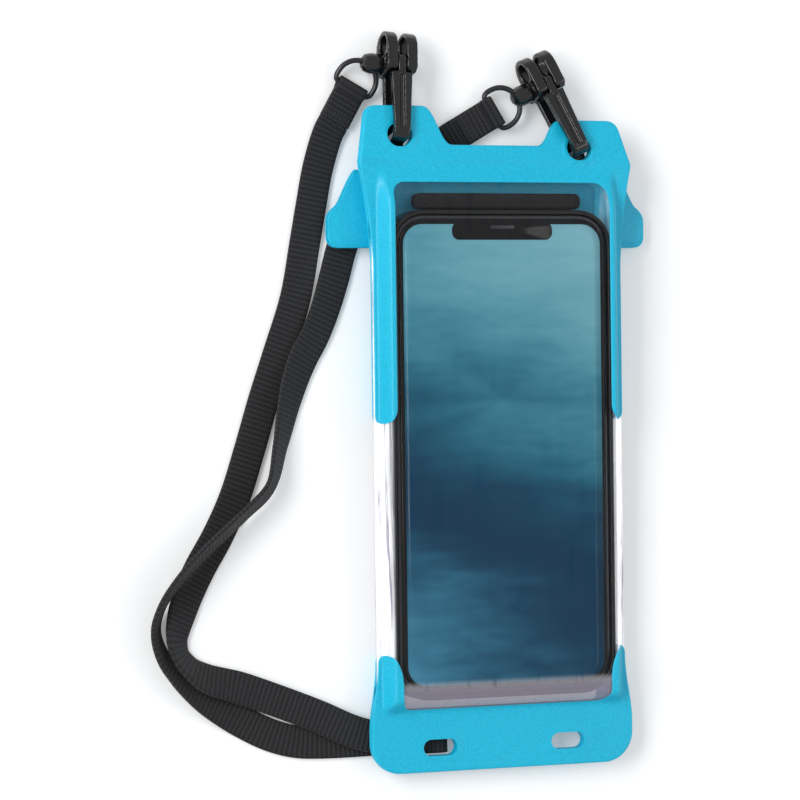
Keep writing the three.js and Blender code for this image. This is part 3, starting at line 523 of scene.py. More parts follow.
def object_place(tree, scale=(1.0, 1.0, 1.0), turn=(0.0, 0.0, 0.0)):
    """Object coordinates through a Mapping node."""
    place = add(tree, "TexCoord")
    mapping = add(tree, "Mapping")
    mapping.inputs["Rotation"].default_value = turn
    mapping.inputs["Scale"].default_value = scale
    link(tree, place.outputs["Object"], mapping.inputs["Vector"])
    return mapping.outputs[0]


bumper_black, tree, shader = shaded("moulded_black_bumper", 0.34, 0.3)
place = object_place(tree)
grain = noise(tree, place, 1800.0)
cloud = noise(tree, place, 60.0)
colour_by(tree, shader, cloud, (0.004, 0.0045, 0.005), (0.01, 0.011, 0.012))
bump(tree, grain, 0.00006, shader)
case_outline = rounded_outline(case_half[0], -case_half[1], case_half[1], 11.7)
case_profile = [(6.0, case_floor)] + quarter(1.6, 1.6, case_floor + 1.6, -90, 0)
case_profile += quarter(0.7, 0.7, case_top - 0.7, 0, 90) + quarter(0.45, 0.95, case_top - 0.45, 90, 180)
case_profile += [(1.4, 8.0), (1.4, 3.2), (2.4, 3.12)]
shape = slab_mesh(case_outline, case_profile)
bumper = face_outward(make_piece("phone_bumper", shape, bumper_black, "phone_case"))

# Phone
# The thing that the pouch holds: a dark metal body under a flat black glass with a rounded display.
# The display has a plain notch with an earpiece slot, and shows a generic sea-green picture.
phone_half = np.array([37.2, 77.7])
glass_low, glass_top = 10.9, 11.6
display_half = np.array([34.6, 74.7])
dark_metal, tree, shader = shaded("brushed_dark_metal", 0.35)
shader.inputs["Metallic"].default_value = 0.8
brushed = noise(tree, object_place(tree, (1.0, 12.0, 1.0)), 900.0)
colour_by(tree, shader, brushed, (0.03, 0.032, 0.036), (0.08, 0.082, 0.088))
bump(tree, brushed, 0.00003, shader)
body_outline = rounded_outline(phone_half[0], -phone_half[1], phone_half[1], 10.0)
body_profile = [(4.0, 3.45)] + quarter(1.4, 1.4, 4.85, -90, 0)
body_profile += quarter(0.5, 0.5, 10.1, 0, 90) + [(2.0, 10.6)]
shape = slab_mesh(body_outline, body_profile)
handset = face_outward(make_piece("handset_body", shape, dark_metal, "phone_body"))

black_glass, tree, shader = shaded("black_front_glass", 0.08, 0.2)
smudge = noise(tree, object_place(tree), 45.0)
colour_by(tree, shader, smudge, (0.002, 0.002, 0.0025), (0.005, 0.005, 0.006))
link(tree, math_node(tree, "MULTIPLY", smudge, 0.25), shader.inputs["Roughness"])
glass_outline = rounded_outline(36.0, -76.5, 76.5, 8.8)
glass_profile = [(4.0, glass_low), (0.0, glass_low)]
glass_profile += quarter(0.5, 0.5, glass_top - 0.5, 0, 90) + [(2.0, glass_top)]
shape = slab_mesh(glass_outline, glass_profile)
glass = face_outward(make_piece("handset_glass", shape, black_glass, "phone_glass"))

# Display picture: long soft swells from a stretched wave texture over a vertical run of sea colours.
picture, tree, shader = shaded("lit_display", 0.1, 0.12)
display_foot, display_head = -0.095, 0.056
sideways, upwards = split_axes(tree, object_place(tree))
height = remap(tree, upwards, display_foot, display_head)
swell_place = object_place(tree, (0.55, 1.9, 0.0), (0.0, 0.0, 0.42))
broad = noise(tree, swell_place, 17.0, 4.0, 0.5)
ripple = noise(tree, swell_place, 95.0, 5.0, 0.6)
moved = math_node(tree, "ADD", height, math_node(tree, "MULTIPLY", broad, 0.55))
moved = math_node(tree, "ADD", moved, math_node(tree, "MULTIPLY", ripple, 0.2))
tilted = math_node(tree, "ADD", moved, math_node(tree, "MULTIPLY", sideways, 3.4))
ramp_span = 1.5
ramp = add(tree, "ValToRGB")
ramp.color_ramp.interpolation = "B_SPLINE"
stops = [(0.2, (0.06, 0.2, 0.3)), (0.42, (0.02, 0.11, 0.18)), (0.58, (0.001, 0.018, 0.045)),
         (0.8, (0.002, 0.026, 0.06)), (0.98, (0.01, 0.09, 0.14)), (1.15, (0.05, 0.2, 0.26)),
         (1.4, (0.14, 0.31, 0.36))]
for k, (at, colour) in enumerate(stops):
    at = at / ramp_span
    stop = ramp.color_ramp.elements[k] if k < 2 else ramp.color_ramp.elements.new(at)
    stop.position = at
    stop.color = (*colour, 1.0)
link(tree, math_node(tree, "DIVIDE", tilted, ramp_span), ramp.inputs[0])
link(tree, ramp.outputs[0], shader.inputs["Base Color"])
link(tree, ramp.outputs[0], shader.inputs["Emission Color"])
shader.inputs["Emission Strength"].default_value = 0.4
display_outline = rounded_outline(display_half[0], -display_half[1], display_half[1], 6.6)
display_profile = [(3.0, glass_top - 0.05), (0.02, glass_top - 0.05)]
display_profile += [(0.0, glass_top + 0.03), (3.0, glass_top + 0.04)]
shape = slab_mesh(display_outline, display_profile)
display = face_outward(make_piece("handset_display", shape, picture))

notch_outline = rounded_outline(17.6, -2.9, 2.9, 2.4, 8, 8) + (0.0, display_half[1] - 2.2)


def plate_mesh(outline, low, high, edge):
    """A thin closed plate: on each face a ring set in from the outline, and a fan to the middle."""
    normal = outline_normals(outline)
    middle = np.broadcast_to(outline.mean(axis=0), outline.shape)
    flat = np.array([middle, outline - normal * edge, outline, outline, outline - normal * edge, middle])
    z = np.array([low, low, low + edge * 0.5, high - edge * 0.5, high, high])
    return stack_rings(flat, z), grid_faces(6, len(outline), True)


shape = plate_mesh(notch_outline, glass_top, glass_top + 0.07, 0.03)
notch = face_outward(make_piece("handset_notch", shape, black_glass))
slot_outline = rounded_outline(4.2, -0.55, 0.55, 0.5, 6, 4) + (0.0, display_half[1] - 0.9)
shape = plate_mesh(slot_outline, glass_top + 0.06, glass_top + 0.1, 0.02)
earpiece = face_outward(make_piece("handset_earpiece", shape, dark_metal))

# Foam float
# A bar of black closed-cell foam above the phone, loose between the films, that keeps the pouch afloat.
foam_black, tree, shader = shaded("black_cell_foam", 0.92, 0.2)
cells = add(tree, "TexVoronoi")
cells.inputs["Scale"].default_value = 1500.0
link(tree, object_place(tree), cells.inputs["Vector"])
colour_by(tree, shader, cells.outputs["Distance"], (0.004, 0.004, 0.0045), (0.022, 0.022, 0.024))
bump(tree, cells.outputs["Distance"], 0.0001, shader)
foam_half, foam_centre = 2.6, 82.3
foam_outline = rounded_outline(29.0, -foam_half, foam_half, 2.0, 8, 20) + (0.0, foam_centre)
foam_normal = outline_normals(foam_outline)
foam_rings = quarter(1.3, 1.3, 4.95, -90, 0) + quarter(1.3, 1.3, 8.35, 0, 90)
foam_flat = np.array([foam_outline - foam_normal * inset for inset, _ in foam_rings])
foam_middle = np.stack([foam_outline[:, 0] * 0.95, np.full(len(foam_outline), foam_centre)], axis=1)
foam_flat = np.concatenate([foam_middle[None], foam_flat, foam_middle[None]])
foam_points = stack_rings(foam_flat, [3.65] + [height for _, height in foam_rings] + [9.65])
shape = foam_points, grid_faces(len(foam_flat), len(foam_outline), True)
foam = face_outward(make_piece("foam_bar", shape, foam_black, "foam_float"))

# Clear films
# Two sheets of thick clear vinyl, welded together all round and pressed out to fit over the phone.
# They are taut over the glass and ripple along the sides, with a pucker near the lower left corner.
film_thickness = 0.5
seam_gap = 0.3
weld_plane = (case_floor + case_top) / 2
side_room, foot_room, head_room = 3.9, 4.2, 15.0
side_weld, foot_weld, head_weld = 0.8, 5.0, 0.4
body_half = case_half[0] + side_room
body_foot = -(case_half[1] + foot_room)
crease = case_half[1] + head_room
film_rise = case_top + seam_gap - (weld_plane + seam_gap / 2)
film_drop = weld_plane - seam_gap / 2 - (case_floor - seam_gap)


def ease(distance, span):
    """Smooth step of a distance over a span, from 0 to 1."""
    t = np.clip(distance / span, 0, 1)
    return t * t * (3 - 2 * t)


def fullness(x, y):
    """Share of the film's rise from the weld, 0, to the phone's face, 1: three smooth edges multiplied."""
    sides = ease(body_half - np.abs(x), side_room)
    return sides * ease(y - body_foot, foot_room) * ease(crease - y, head_room)


def droop(x, y):
    """Fall of the header beyond the crease, growing with distance and to the right."""
    out = np.clip((y - crease) / 15.0, 0, 1.2)
    return 4.0 * out * (0.6 + 0.4 * ease(x + 15.0, 40.0))


def ripples(x, y):
    """Small waves of the film where nothing is welded over it: sines along the sides and one pucker."""
    bare = ease(37.2 - np.abs(x), 2.0) * ease(y + 81.5, 3.0) * ease(87.0 - y, 3.0)
    flank = ease(np.abs(x) - 30.0, 7.0)
    quick_wave = np.sin(y / 6.5 + 1.3 * np.sin(y / 19.0))
    long_waves = 0.16 * flank * (1 + quick_wave * np.sin(y / 15.0 + np.sign(x)))
    head = 0.3 * ease(y - 76.0, 6.0) * (1 + np.sin(x / 7.0 + 0.8 * np.sin(x / 3.3)))
    across = (x + 37.0) * 0.82 + (y + 58.0) * 0.35
    travel = (y + 58.0) * 0.82 - (x + 37.0) * 0.35
    pucker = 0.7 * np.exp(-((across / 1.1) ** 2) - (travel / 11.0) ** 2)
    pucker += 0.45 * np.exp(-(((across - 3.0) / 1.2) ** 2) - ((travel + 5.0) / 7.0) ** 2)
    return bare * (long_waves + head + pucker + 0.05 * (1 + np.sin(x / 13.0 + y / 21.0)))


def front_film_low(x, y):
    """Height of the front film's inner face."""
    return weld_plane + seam_gap / 2 + film_rise * fullness(x, y) - droop(x, y)


def back_film_high(x, y):
    """Height of the back film's inner face."""
    return weld_plane - seam_gap / 2 - film_drop * fullness(x, y) - droop(x, y)


def rounded_grid(half_x, low, high, corner, columns, rows):
    """Grid points over a rounded oblong: the corner squares are mapped onto quarter discs."""
    x, y = np.meshgrid(np.linspace(-half_x, half_x, columns), np.linspace(low, high, rows))
    a = np.clip((np.abs(x) - (half_x - corner)) / corner, 0, 1)
    near_high = np.clip((y - (high - corner)) / corner, 0, 1)
    near_low = np.clip(((low + corner) - y) / corner, 0, 1)
    b = np.maximum(near_high, near_low)
    in_corner = (a > 0) & (b > 0)
    new_a = a * np.sqrt(1 - b * b / 2)
    new_b = b * np.sqrt(1 - a * a / 2)
    x = np.where(in_corner, np.sign(x) * (half_x - corner + corner * new_a), x)
    corner_y = np.where(near_high > 0, high - corner + corner * new_b, low + corner - corner * new_b)
    return x, np.where(in_corner, corner_y, y)


def sheet_mesh(x, y, low, high):
    """A closed sheet over grid points, from its low to its high heights."""
    rows, columns = x.shape
    under = np.stack([x, y, low], axis=-1).reshape(-1, 3)
    over = np.stack([x, y, high], axis=-1).reshape(-1, 3)
    faces = grid_faces(rows, columns)
    ids = np.arange(rows * columns).reshape(rows, columns)
    rim = np.concatenate([ids[0, :-1], ids[:-1, -1], ids[-1, :0:-1], ids[:0:-1, 0]])
    after = np.roll(rim, -1)
    total = rows * columns
    wall = np.stack([rim, after, after + total, rim + total], axis=1)
    return set_down(np.concatenate([under, over])), np.concatenate([faces[:, ::-1], faces + total, wall])


# Clear vinyl: mostly see-through, with painted reflections: a whitish cover that grows at grazing angles and
# white streaky bands at the side bends, lilac-grey crease lines, a painted grey-lilac reflection veil over
# the foot, and a painted glow in the film's own colour.
def vinyl(name, tint, clear, painted_reflection, painted_glow):
    """Clear film of a tint: its least cover, the cover of its painted reflections at the side bends and over
    the foot, and the strength of its painted glow.
    """
    material, tree, shader = shaded(name, 0.1, 0.7)
    shader.inputs["Coat Weight"].default_value = 0.3
    shader.inputs["Coat Roughness"].default_value = 0.04
    place = object_place(tree)
    sideways, upwards = split_axes(tree, place)
    side = math_node(tree, "ABSOLUTE", sideways)
    # Painted reflection: white streaky bands where the film bends round the phone's sides.
    band = remap(tree, side, 0.0384, 0.0408, kind="SMOOTHSTEP")
    streak_place = object_place(tree, (1.0, 0.04, 1.0))
    reflection_streaks = noise(tree, streak_place, 230.0, 4.0, 0.6)
    patchy = math_node(tree, "ADD", remap(tree, reflection_streaks, 0.4, 0.75), 0.45)
    edge = math_node(tree, "MULTIPLY", band, patchy)
    # Painted reflection: the whitish film covers more where it is seen at a grazing angle.
    graze = add(tree, "LayerWeight")
    graze.inputs["Blend"].default_value = 0.35
    rim = math_node(tree, "POWER", graze.outputs["Facing"], 3.0)
    cover = math_node(tree, "MULTIPLY", rim, 0.3)
    cover = math_node(tree, "ADD", cover, math_node(tree, "MULTIPLY", edge, painted_reflection))
    # Painted reflection: a grey-lilac veil over the foot of the film, in its cover and its tint.
    foot = remap(tree, upwards, -0.0905, -0.0945, kind="SMOOTHSTEP")
    foot_reflection_veil = math_node(tree, "MULTIPLY", foot, painted_reflection * 0.3)
    cover = math_node(tree, "ADD", cover, foot_reflection_veil)
    cover = math_node(tree, "ADD", cover, clear)
    link(tree, math_node(tree, "MINIMUM", cover, 0.92), shader.inputs["Alpha"])
    crease_lines = noise(tree, streak_place, 620.0, 3.0, 0.7)
    greyed = math_node(tree, "MAXIMUM", remap(tree, crease_lines, 0.52, 0.62), foot)
    skin_tone = colour_mix(tree, greyed, tint, (0.36, 0.33, 0.41))
    link(tree, skin_tone, shader.inputs["Base Color"])
    # Painted glow: the film emits its own colour, which brightens its painted reflections.
    link(tree, skin_tone, shader.inputs["Emission Color"])
    shader.inputs["Emission Strength"].default_value = painted_glow
    bump(tree, noise(tree, place, 300.0), 0.00004, shader)
    return material


# The front film has strong painted reflections and glow, the back film faint ones.
front_vinyl = vinyl("clear_vinyl", (0.97, 0.98, 1.0), 0.004, 0.85, 0.4)
back_vinyl = vinyl("clear_back_vinyl", (0.9, 0.9, 0.94), 0.02, 0.3, 0.1)
film_x, film_y = rounded_grid(body_half + side_weld, body_foot - foot_weld, crease + head_weld, 4.5,
                              141, 161)
front_low = front_film_low(film_x, film_y) + ripples(film_x, film_y)
shape = sheet_mesh(film_x, film_y, front_low, front_low + film_thickness)
front_film = make_piece("front_clear_film", shape, front_vinyl, "front_film")
back_high = back_film_high(film_x, film_y)
shape = sheet_mesh(film_x, film_y, back_high - film_thickness, back_high)
back_film = make_piece("back_clear_film", shape, back_vinyl, "back_film")

# Upper and lower covers
# Satin blue soft-touch skins bonded over both films, front and back, each cut in one piece.
# The upper one has a two-lobed header and two long legs, and the lower one a fin with two lanyard slots.
cover_thickness = 0.6
window_half, window_corner, window_top, window_bottom = 37.6, 4.5, 88.4, -82.4
crease_half, leg_tip, arm_tip = body_half + 5.0, 10.4, -64.4
lobe_rise = {-1: 19.0, 1: 15.0}
lobe_shoulder, dip_ease, tip_inset = 4, 5, 1.5
flare_length, flare_knee, flare_head = 32, 18, 7
dip_rise, dip_half, lobe_inner, lobe_outer = 6.3, 15.0, 25.0, 44.5
hole_drop, hole_width, hole_height = 9.6, 8.6, 7.8
hole_x = {-1: -33.4, 1: 29.6}
fin_bottom, fin_half, fin_corner = body_foot - 19.5, 46.0, 10.0
slot_x, slot_width, slot_height, slot_rise = 22.5, 11.7, 5.4, 8.0


def straight(start, end, count):
    """Points on a straight line, without its last one."""
    share = np.linspace(0, 1, count + 1)[:-1, None]
    return np.array(start) * (1 - share) + np.array(end) * share


def bezier(start, one, two, end, count):
    """Points on a cubic Bezier curve, without its last one."""
    t = np.linspace(0, 1, count + 1)[:-1, None]
    start, one, two, end = map(np.array, (start, one, two, end))
    return (1 - t) ** 3 * start + 3 * (1 - t) ** 2 * t * one + 3 * (1 - t) * t * t * two + t ** 3 * end


def curve_to(start, pull, end, count):
    """Points on a quadratic Bezier curve, without its last one."""
    start, pull, end = map(np.array, (start, pull, end))
    return bezier(start, start + (pull - start) * 2 / 3, end + (pull - end) * 2 / 3, end, count)


def trace(start, *steps):
    """Points of lines and Bezier curves joined end to end, without the last one.

    Each step lists its control points if it has any, then its end, then how many points it gives.
    """
    runs = []
    for *pulls, end, count in steps:
        run = (straight, curve_to, bezier)[len(pulls)]
        runs.append(run(start, *pulls, end, count))
        start = end
    return np.concatenate(runs)


def arc(centre, radius, stop, count):
    """Points on a circle from angle 0 to another, without the last one."""
    turn = np.linspace(0, stop, count + 1)[:-1, None]
    return np.array(centre) + radius * np.concatenate([np.cos(turn), np.sin(turn)], axis=1)


def upper_half(side):
    """Outer and inner edge of the upper cover's one half, from the leg's tip to the middle of the header."""
    edge = body_half + side_weld
    top, dip = crease + lobe_rise[side], crease + dip_rise
    tip = (body_half - tip_inset, leg_tip)
    outer = trace(
        tip,
        ((edge, leg_tip), (edge, leg_tip + 3), 10),
        ((edge, crease - flare_length), 60),
        ((body_half + 1.6, crease - flare_knee), (crease_half - 1.6, crease - flare_head),
         (crease_half, crease), 36),
        ((lobe_outer + 0.6, top - lobe_shoulder), 16),
        ((lobe_outer, top), (lobe_outer - lobe_shoulder, top), 8),
        ((lobe_inner, top), 20),
        ((lobe_inner - dip_ease, top), (dip_half + dip_ease, dip), (dip_half, dip), 20),
        ((0, dip), 16),
    )
    leg_inside = trace(
        tip,
        ((body_half - 3, leg_tip), (window_half, leg_tip + 2), (window_half, leg_tip + 5), 10),
        ((window_half, crease - flare_length), 60),
        ((window_half, window_top - window_corner), 52),
    )
    window_head = trace(
        (window_half - window_corner, window_top),
        ((lobe_inner, window_top), 20),
        ((dip_half, window_top), 20),
        ((0, window_top), 16),
    )
    corner_centre = (window_half - window_corner, window_top - window_corner)
    inner = np.concatenate([leg_inside, arc(corner_centre, window_corner, np.pi / 2, 8), window_head])
    return outer * (side, 1), inner * (side, 1)


def lower_half(side):
    """Outer and inner edge of the lower cover's one half, from the arm's tip to the middle of the fin."""
    edge = body_half + side_weld
    tip = (body_half - tip_inset, arm_tip)
    arm_outside = trace(
        tip,
        ((edge, arm_tip), (edge, arm_tip - 3), 8),
        ((edge, body_foot + 8), (fin_half, body_foot + 2), (fin_half, body_foot - 6), 30),
        ((fin_half, fin_bottom + fin_corner), 6),
    )
    corner_centre = (fin_half - fin_corner, fin_bottom + fin_corner)
    fin_edge = straight((fin_half - fin_corner, fin_bottom), (0, fin_bottom), 40)
    outer = np.concatenate([arm_outside, arc(corner_centre, fin_corner, -np.pi / 2, 12), fin_edge])
    half = window_half - 1
    inner = trace(
        tip,
        ((body_half - 4, arm_tip), (half, arm_tip - 5), (half, window_bottom + 8), 38),
        ((half, window_bottom + window_corner), 6),
        ((half, window_bottom), (half - window_corner, window_bottom), 12),
        ((0, window_bottom), 40),
    )
    return outer * (side, 1), inner * (side, 1)


def whole(halves):
    """Both halves of a cover's edges in one run: the left one as it goes, then the right one back."""
    (left_out, left_in), (right_out, right_in) = halves
    middle_out = (left_out[-1:] + right_out[-1:]) * (0.5, 0.5)
    middle_in = (left_in[-1:] + right_in[-1:]) * (0.5, 0.5)
    outer = np.concatenate([left_out, middle_out, right_out[::-1]])
    inner = np.concatenate([left_in, middle_in, right_in[::-1]])
    return outer, inner


def over_film(x, y):
    """1 where a cover lies over film, and 0 where the two covers meet each other."""
    past_ends = np.maximum(body_foot - foot_weld - y, y - crease - head_weld)
    beyond = np.maximum(np.abs(x) - body_half - side_weld, past_ends)
    return 1 - ease(beyond - seam_gap, 2 * seam_gap)


def front_cover_low(x, y):
    """Inner face of the front covers."""
    return front_film_low(x, y) + (film_thickness + seam_gap) * over_film(x, y)


def front_cover_high(x, y):
    """Outer face of the front covers: film, gap and skin, with a pressed crease and raised eyelets."""
    high = front_film_low(x, y) + film_thickness + seam_gap + cover_thickness + 0.15
    return high + pressed(x, y)


def back_cover_high(x, y):
    """Inner face of the back covers."""
    return back_film_high(x, y) - (film_thickness + seam_gap) * over_film(x, y)


def back_cover_low(x, y):
    """Outer face of the back covers, the front one's mirror image."""
    return back_film_high(x, y) - film_thickness - seam_gap - cover_thickness - 0.1 - pressed(x, y)


def pressed(x, y):
    """Pressed detail: a groove and a bead at the crease, and a round bead about each hole and slot."""
    relief = -0.28 * np.exp(-(((y - crease) / 0.55) ** 2))
    relief = relief + 0.22 * np.exp(-(((y - crease - 1.4) / 0.7) ** 2))
    for side in (-1, 1):
        eyelet_y = crease + lobe_rise[side] - hole_drop
        reach = np.hypot(np.maximum(np.abs(x - hole_x[side]) - 0.4, 0), y - eyelet_y)
        relief = relief + 0.35 * np.exp(-(((reach - 4.9) / 0.55) ** 2))
        reach = np.hypot(np.maximum(np.abs(x - side * slot_x) - 3.15, 0), y - fin_bottom - slot_rise)
        relief = relief + 0.3 * np.exp(-(((reach - 3.5) / 0.5) ** 2))
    return relief


def cover_mesh(edges, low, high, rim):
    """A cover as a band between its edges: round rims of a given radius, and faces on the height functions.

    Across the band the thickness grows from 0 at an edge to the full skin over a quarter circle of the rim.
    """
    outer, inner = edges
    width = np.linalg.norm(outer - inner, axis=1)[:, None]
    reach = np.minimum(rim / np.maximum(width, 1e-6), 0.24)
    bend = np.linspace(0, np.pi / 2, 6)[None, :]
    start = reach * (1 - np.cos(bend))
    rise = np.sin(bend) * np.ones_like(start)
    middle = np.linspace(0, 1, 20)[None, 1:-1]
    run = reach + (1 - 2 * reach) * middle
    share = np.concatenate([start, run, 1 - start[:, ::-1]], axis=1)
    swell = np.concatenate([rise, np.ones_like(run), rise[:, ::-1]], axis=1)
    flat = inner[:, None] * (1 - share[..., None]) + outer[:, None] * share[..., None]
    x, y = flat[..., 0], flat[..., 1]
    bottom, top = low(x, y), high(x, y)
    half, mid = (top - bottom) / 2, (top + bottom) / 2
    over = np.stack([x, y, mid + half * swell], axis=-1)
    under = np.stack([x, y, mid - half * swell], axis=-1)[:, ::-1][:, 1:-1]
    points = np.concatenate([over, under], axis=1)
    count, around = points.shape[:2]
    caps = [tuple(range(around)), tuple(range((count - 1) * around, count * around))[::-1]]
    faces = [tuple(q) for q in grid_faces(count, around, True).tolist()] + caps
    return set_down(points).reshape(-1, 3), faces


def cut(piece, outlines, low, high):
    """Cuts upright prisms of the given outlines through a piece."""
    for outline in outlines:
        count = len(outline)
        z = np.repeat([low, high], count)[:, None]
        points = set_down(np.concatenate([np.tile(outline, (2, 1)), z], axis=1))
        ids = np.arange(count)
        after = np.roll(ids, -1)
        walls = np.stack([ids, after, after + count, ids + count], axis=1).tolist()
        mesh = bpy.data.meshes.new("punch")
        mesh.from_pydata(points, [], [*map(tuple, walls), tuple(ids[::-1]), tuple(ids + count)])
        punch = add_object("punch", mesh)
        opening = piece.modifiers.new("opening", "BOOLEAN")
        opening.object = punch
        opening.operation = "DIFFERENCE"
        opening.solver = "EXACT"
        bpy.context.view_layer.update()
        done = bpy.data.meshes.new_from_object(piece.evaluated_get(bpy.context.evaluated_depsgraph_get()))
        piece.modifiers.clear()
        old = piece.data
        piece.data = done
        bpy.data.meshes.remove(old)
        bpy.data.objects.remove(punch)
        bpy.data.meshes.remove(mesh)


def smooth_by_angle(piece, degrees):
    """Smooth faces, with sharp edges where two faces meet at more than an angle."""
    piece.data.polygons.foreach_set("use_smooth", np.ones(len(piece.data.polygons), bool))
    piece.data.set_sharp_from_angle(angle=np.radians(degrees))


def stadium(x, y, width, height):
    """Outline of a slot with round ends, anticlockwise."""
    turn = np.linspace(-np.pi / 2, np.pi / 2, 17)
    arc = np.stack([np.cos(turn), np.sin(turn)], axis=1) * height / 2
    straight_half = (width - height) / 2
    return np.concatenate([arc + (straight_half, 0), arc * (-1, -1) - (straight_half, 0)]) + (x, y)


# Soft-touch blue: two near blues in a slow cloud, a fine darker speckle, and a dusting of sheen.
soft_blue, tree, shader = shaded("soft_touch_cyan", 0.42, 0.45)
shader.inputs["Sheen Weight"].default_value = 0.04
shader.inputs["Sheen Roughness"].default_value = 0.4
place = object_place(tree)
cloud = noise(tree, place, 30.0, 2.0)
speck = noise(tree, place, 1500.0, 2.0, 0.7)
base = colour_mix(tree, cloud, (0.004, 0.53, 0.79), (0.006, 0.58, 0.85))
fleck = remap(tree, speck, 0.35, 0.75, 0.84, 1.08)
tone = add(tree, "VectorMath")
tone.operation = "SCALE"
link(tree, base, tone.inputs[0])
link(tree, fleck, tone.inputs["Scale"])
link(tree, tone.outputs[0], shader.inputs["Base Color"])
bump(tree, speck, 0.00006, shader)

hole_y = {side: crease + lobe_rise[side] - hole_drop for side in (-1, 1)}
header_holes = [stadium(hole_x[s], hole_y[s], hole_width, hole_height) for s in (-1, 1)]
fin_slots = [stadium(s * slot_x, fin_bottom + slot_rise, slot_width, slot_height) for s in (-1, 1)]
upper_edges = whole([upper_half(-1), upper_half(1)])
lower_edges = whole([lower_half(-1), lower_half(1)])
covers = [
    ("front_upper_skin", "front_upper_cover", upper_edges, front_cover_low, front_cover_high, header_holes),
    ("back_upper_skin", "back_upper_cover", upper_edges, back_cover_low, back_cover_high, header_holes),
    ("front_lower_skin", "front_lower_cover", lower_edges, front_cover_low, front_cover_high, fin_slots),
    ("back_lower_skin", "back_lower_cover", lower_edges, back_cover_low, back_cover_high, fin_slots),
]
for name, node, edges, low, high, openings in covers:
    shape = cover_mesh(edges, low, high, 0.75)
    skin = face_outward(make_piece(name, shape, soft_blue, node))
    cut(skin, openings, -10.0, 30.0)
    smooth_by_angle(skin, 35)

# Folded closure
# The pouch's mouth: two blue lips with a hidden seal bar between them, folded down behind the header.
# Its ends stand out past the pouch as two wings, and a flat fold joins it to the header's foot.
fold_line = crease - 1.5
closure_edge = fold_line - 25.5
wing_half, neck_half, lip_thickness, seal_thickness = 56.0, 46.0, 0.6, 0.9


def closure_outline():
    """Outline of a lip, anticlockwise: straight foot, round corners, sides drawn in to the fold."""
    right = trace(
        (0, closure_edge),
        ((wing_half - 4, closure_edge), 40),
        ((wing_half, closure_edge), (wing_half, closure_edge + 4), 10),
        ((wing_half, fold_line - 17), 6),
        ((wing_half, fold_line - 14), (wing_half - 3, fold_line - 12), 8),
        ((wing_half - 5, fold_line - 10), (neck_half + 3, fold_line - 3), (neck_half, fold_line), 16),
        ((0, fold_line), 40),
    )
    left = (right * (-1, 1))[::-1]
    return np.concatenate([right, left[:-1]])


def lip_mesh(outline, low, high):
    """A flat lip with half-round rims: rings of the outline set in by a half circle, and two flat faces."""
    normal = outline_normals(outline)
    radius = (high - low) / 2
    turn = np.radians(np.linspace(-90, 90, 7))
    flat = np.array([outline - normal * radius * (1 - np.cos(t)) for t in turn])
    z = (low + high) / 2 + radius * np.sin(turn)
    count = len(outline)
    caps = [tuple(range(count))[::-1], tuple(range((len(turn) - 1) * count, len(turn) * count))]
    return stack_rings(flat, z), grid_faces(len(turn), count, True).tolist() + caps


lip_outline = closure_outline()
inner_high = -seam_gap
outer_high = inner_high - lip_thickness - 2 * seam_gap - seal_thickness
short_of_fold = lip_outline - np.array([0.0, 0.9]) * (lip_outline[:, 1:] > fold_line - 0.1)
shape = lip_mesh(short_of_fold, inner_high - lip_thickness, inner_high)
inner_lip = face_outward(make_piece("closure_inner_skin", shape, soft_blue, "closure_inner_lip"))
shape = lip_mesh(lip_outline, outer_high - lip_thickness, outer_high)
outer_lip = face_outward(make_piece("closure_outer_skin", shape, soft_blue, "closure_outer_lip"))

# The fold rises from the outer lip to the header's foot, as a band across the pouch.
fold_top = weld_plane - seam_gap / 2 - film_thickness - cover_thickness - 3 * seam_gap
fold_width = 0.084
rise = np.linspace(outer_high - lip_thickness / 2, fold_top, 14)
fold_path = np.stack([0 * rise, fold_line - lip_thickness / 2 + 0 * rise, rise], axis=1)
run_in = [[0, fold_line - 5.0, rise[0]], [0, fold_line - 2.5, rise[0]], [0, fold_line - 0.9, rise[0] + 0.02]]
fold_line_points = set_down(np.concatenate([run_in, fold_path[1:]]))
fold_wide = np.tile((1.0, 0.0, 0.0), (len(fold_line_points), 1))
shape = webbing_mesh(fold_line_points, fold_wide, fold_width, lip_thickness * millimetre)
fold_band = face_outward(make_piece("closure_fold", shape[:2], soft_blue))

seal_y = (fold_line + closure_edge) / 2
seal_outline = rounded_outline(43.0, seal_y - 4.5, seal_y + 4.5, 1.0, 5, 10)
seal_high = inner_high - lip_thickness - seam_gap
shape = plate_mesh(seal_outline, seal_high - seal_thickness, seal_high, 0.2)
seal = face_outward(make_piece("seal_strip", shape, bumper_black, "seal_bar"))

# Snap clips
# Glossy black moulded clips: a forked yoke with a finger eye, a ribbed arm on a pin, and a ring's swivel.
# Each is one moulding with soft edges, so the CAD shape is merged and its edges are rounded.
clip_black, tree, shader = shaded("glossy_black_moulding", 0.2, 0.5)
shader.inputs["Coat Weight"].default_value = 0.5
shader.inputs["Coat Roughness"].default_value = 0.06
place = object_place(tree)
flow = noise(tree, place, 220.0, 3.0)
scuff = noise(tree, object_place(tree, (1.0, 0.2, 1.0)), 2200.0, 2.0)
colour_by(tree, shader, flow, (0.002, 0.002, 0.0025), (0.008, 0.008, 0.009))
link(tree, remap(tree, scuff, to_low=0.12, to_high=0.26), shader.inputs["Roughness"])
bump(tree, flow, 0.00008, shader, 0.6)

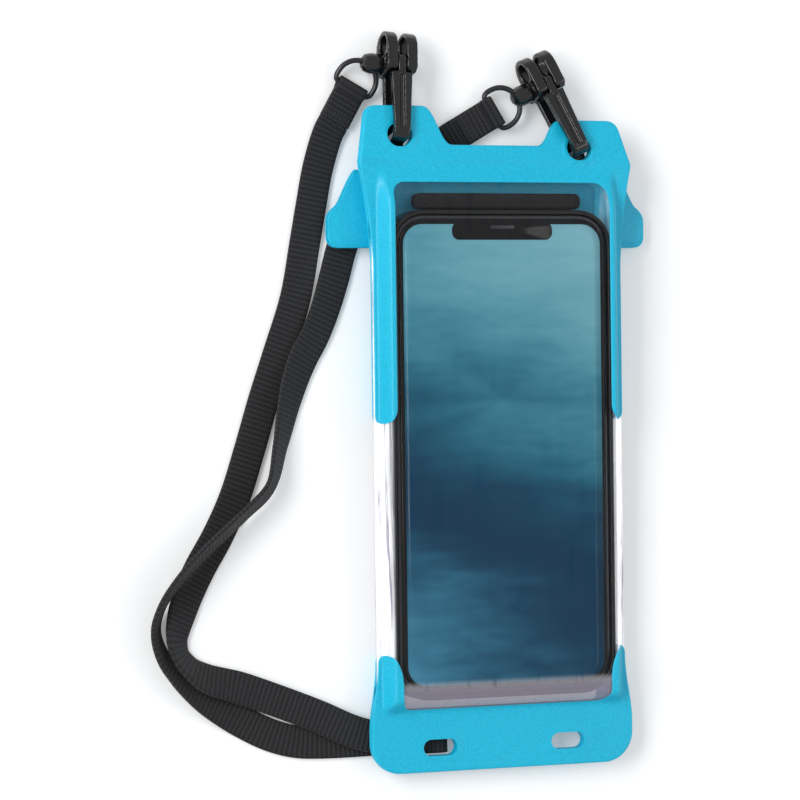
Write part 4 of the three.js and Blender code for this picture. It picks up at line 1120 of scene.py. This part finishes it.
ring_steel, tree, shader = shaded("black_coated_wire", 0.3, 0.6)
shader.inputs["Metallic"].default_value = 0.55
worn = noise(tree, object_place(tree), 700.0, 4.0)
colour_by(tree, shader, worn, (0.01, 0.01, 0.012), (0.07, 0.07, 0.075))
bump(tree, worn, 0.00003, shader)


def rounded_copy(node, name, material, body="pouch", edge=0.0003, melt=0, subdivide=0):
    """Copies a CAD node, merges it, and rounds it by a bevel, by subdivision, or by recasting it."""
    mesh = nodes[node].data.copy()
    mesh.materials.clear()
    mesh.materials.append(material)
    form = bmesh.new()
    form.from_mesh(mesh)
    bmesh.ops.remove_doubles(form, verts=form.verts, dist=2e-6)
    bmesh.ops.dissolve_limit(form, angle_limit=np.radians(1.0), verts=form.verts, edges=form.edges)
    form.to_mesh(mesh)
    form.free()
    piece = add_object(name, mesh)
    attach(piece, body)
    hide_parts(node)
    if subdivide:
        rounder = piece.modifiers.new("round", "SUBSURF")
        rounder.levels = rounder.render_levels = subdivide
        mesh.polygons.foreach_set("use_smooth", np.ones(len(mesh.polygons), bool))
    elif melt:
        recast = piece.modifiers.new("recast", "REMESH")
        recast.mode = "VOXEL"
        recast.voxel_size = 0.00022
        recast.use_smooth_shade = True
        flow_out = piece.modifiers.new("flow_out", "SMOOTH")
        flow_out.factor = 0.5
        flow_out.iterations = melt
    else:
        softener = piece.modifiers.new("soft_edges", "BEVEL")
        softener.width = edge
        softener.segments = 3
        softener.limit_method = "ANGLE"
        softener.angle_limit = np.radians(32)
        softener.harden_normals = False
        smooth_by_angle(piece, 50)


for side in ("left", "right"):
    rounded_copy(f"{side}_clip_yoke", f"{side}_yoke_moulding", clip_black, melt=40)
    rounded_copy(f"{side}_clip_arm", f"{side}_arm_moulding", clip_black,
                 f"{side}_arm", melt=14)
    rounded_copy(f"{side}_clip_pin", f"{side}_hinge_pin", clip_black, edge=0.0002)
    rounded_copy(f"{side}_clip_swivel", f"{side}_swivel_barrel", clip_black)
    rounded_copy(f"{side}_strap_ring", f"{side}_wire_ring", ring_steel, subdivide=1)
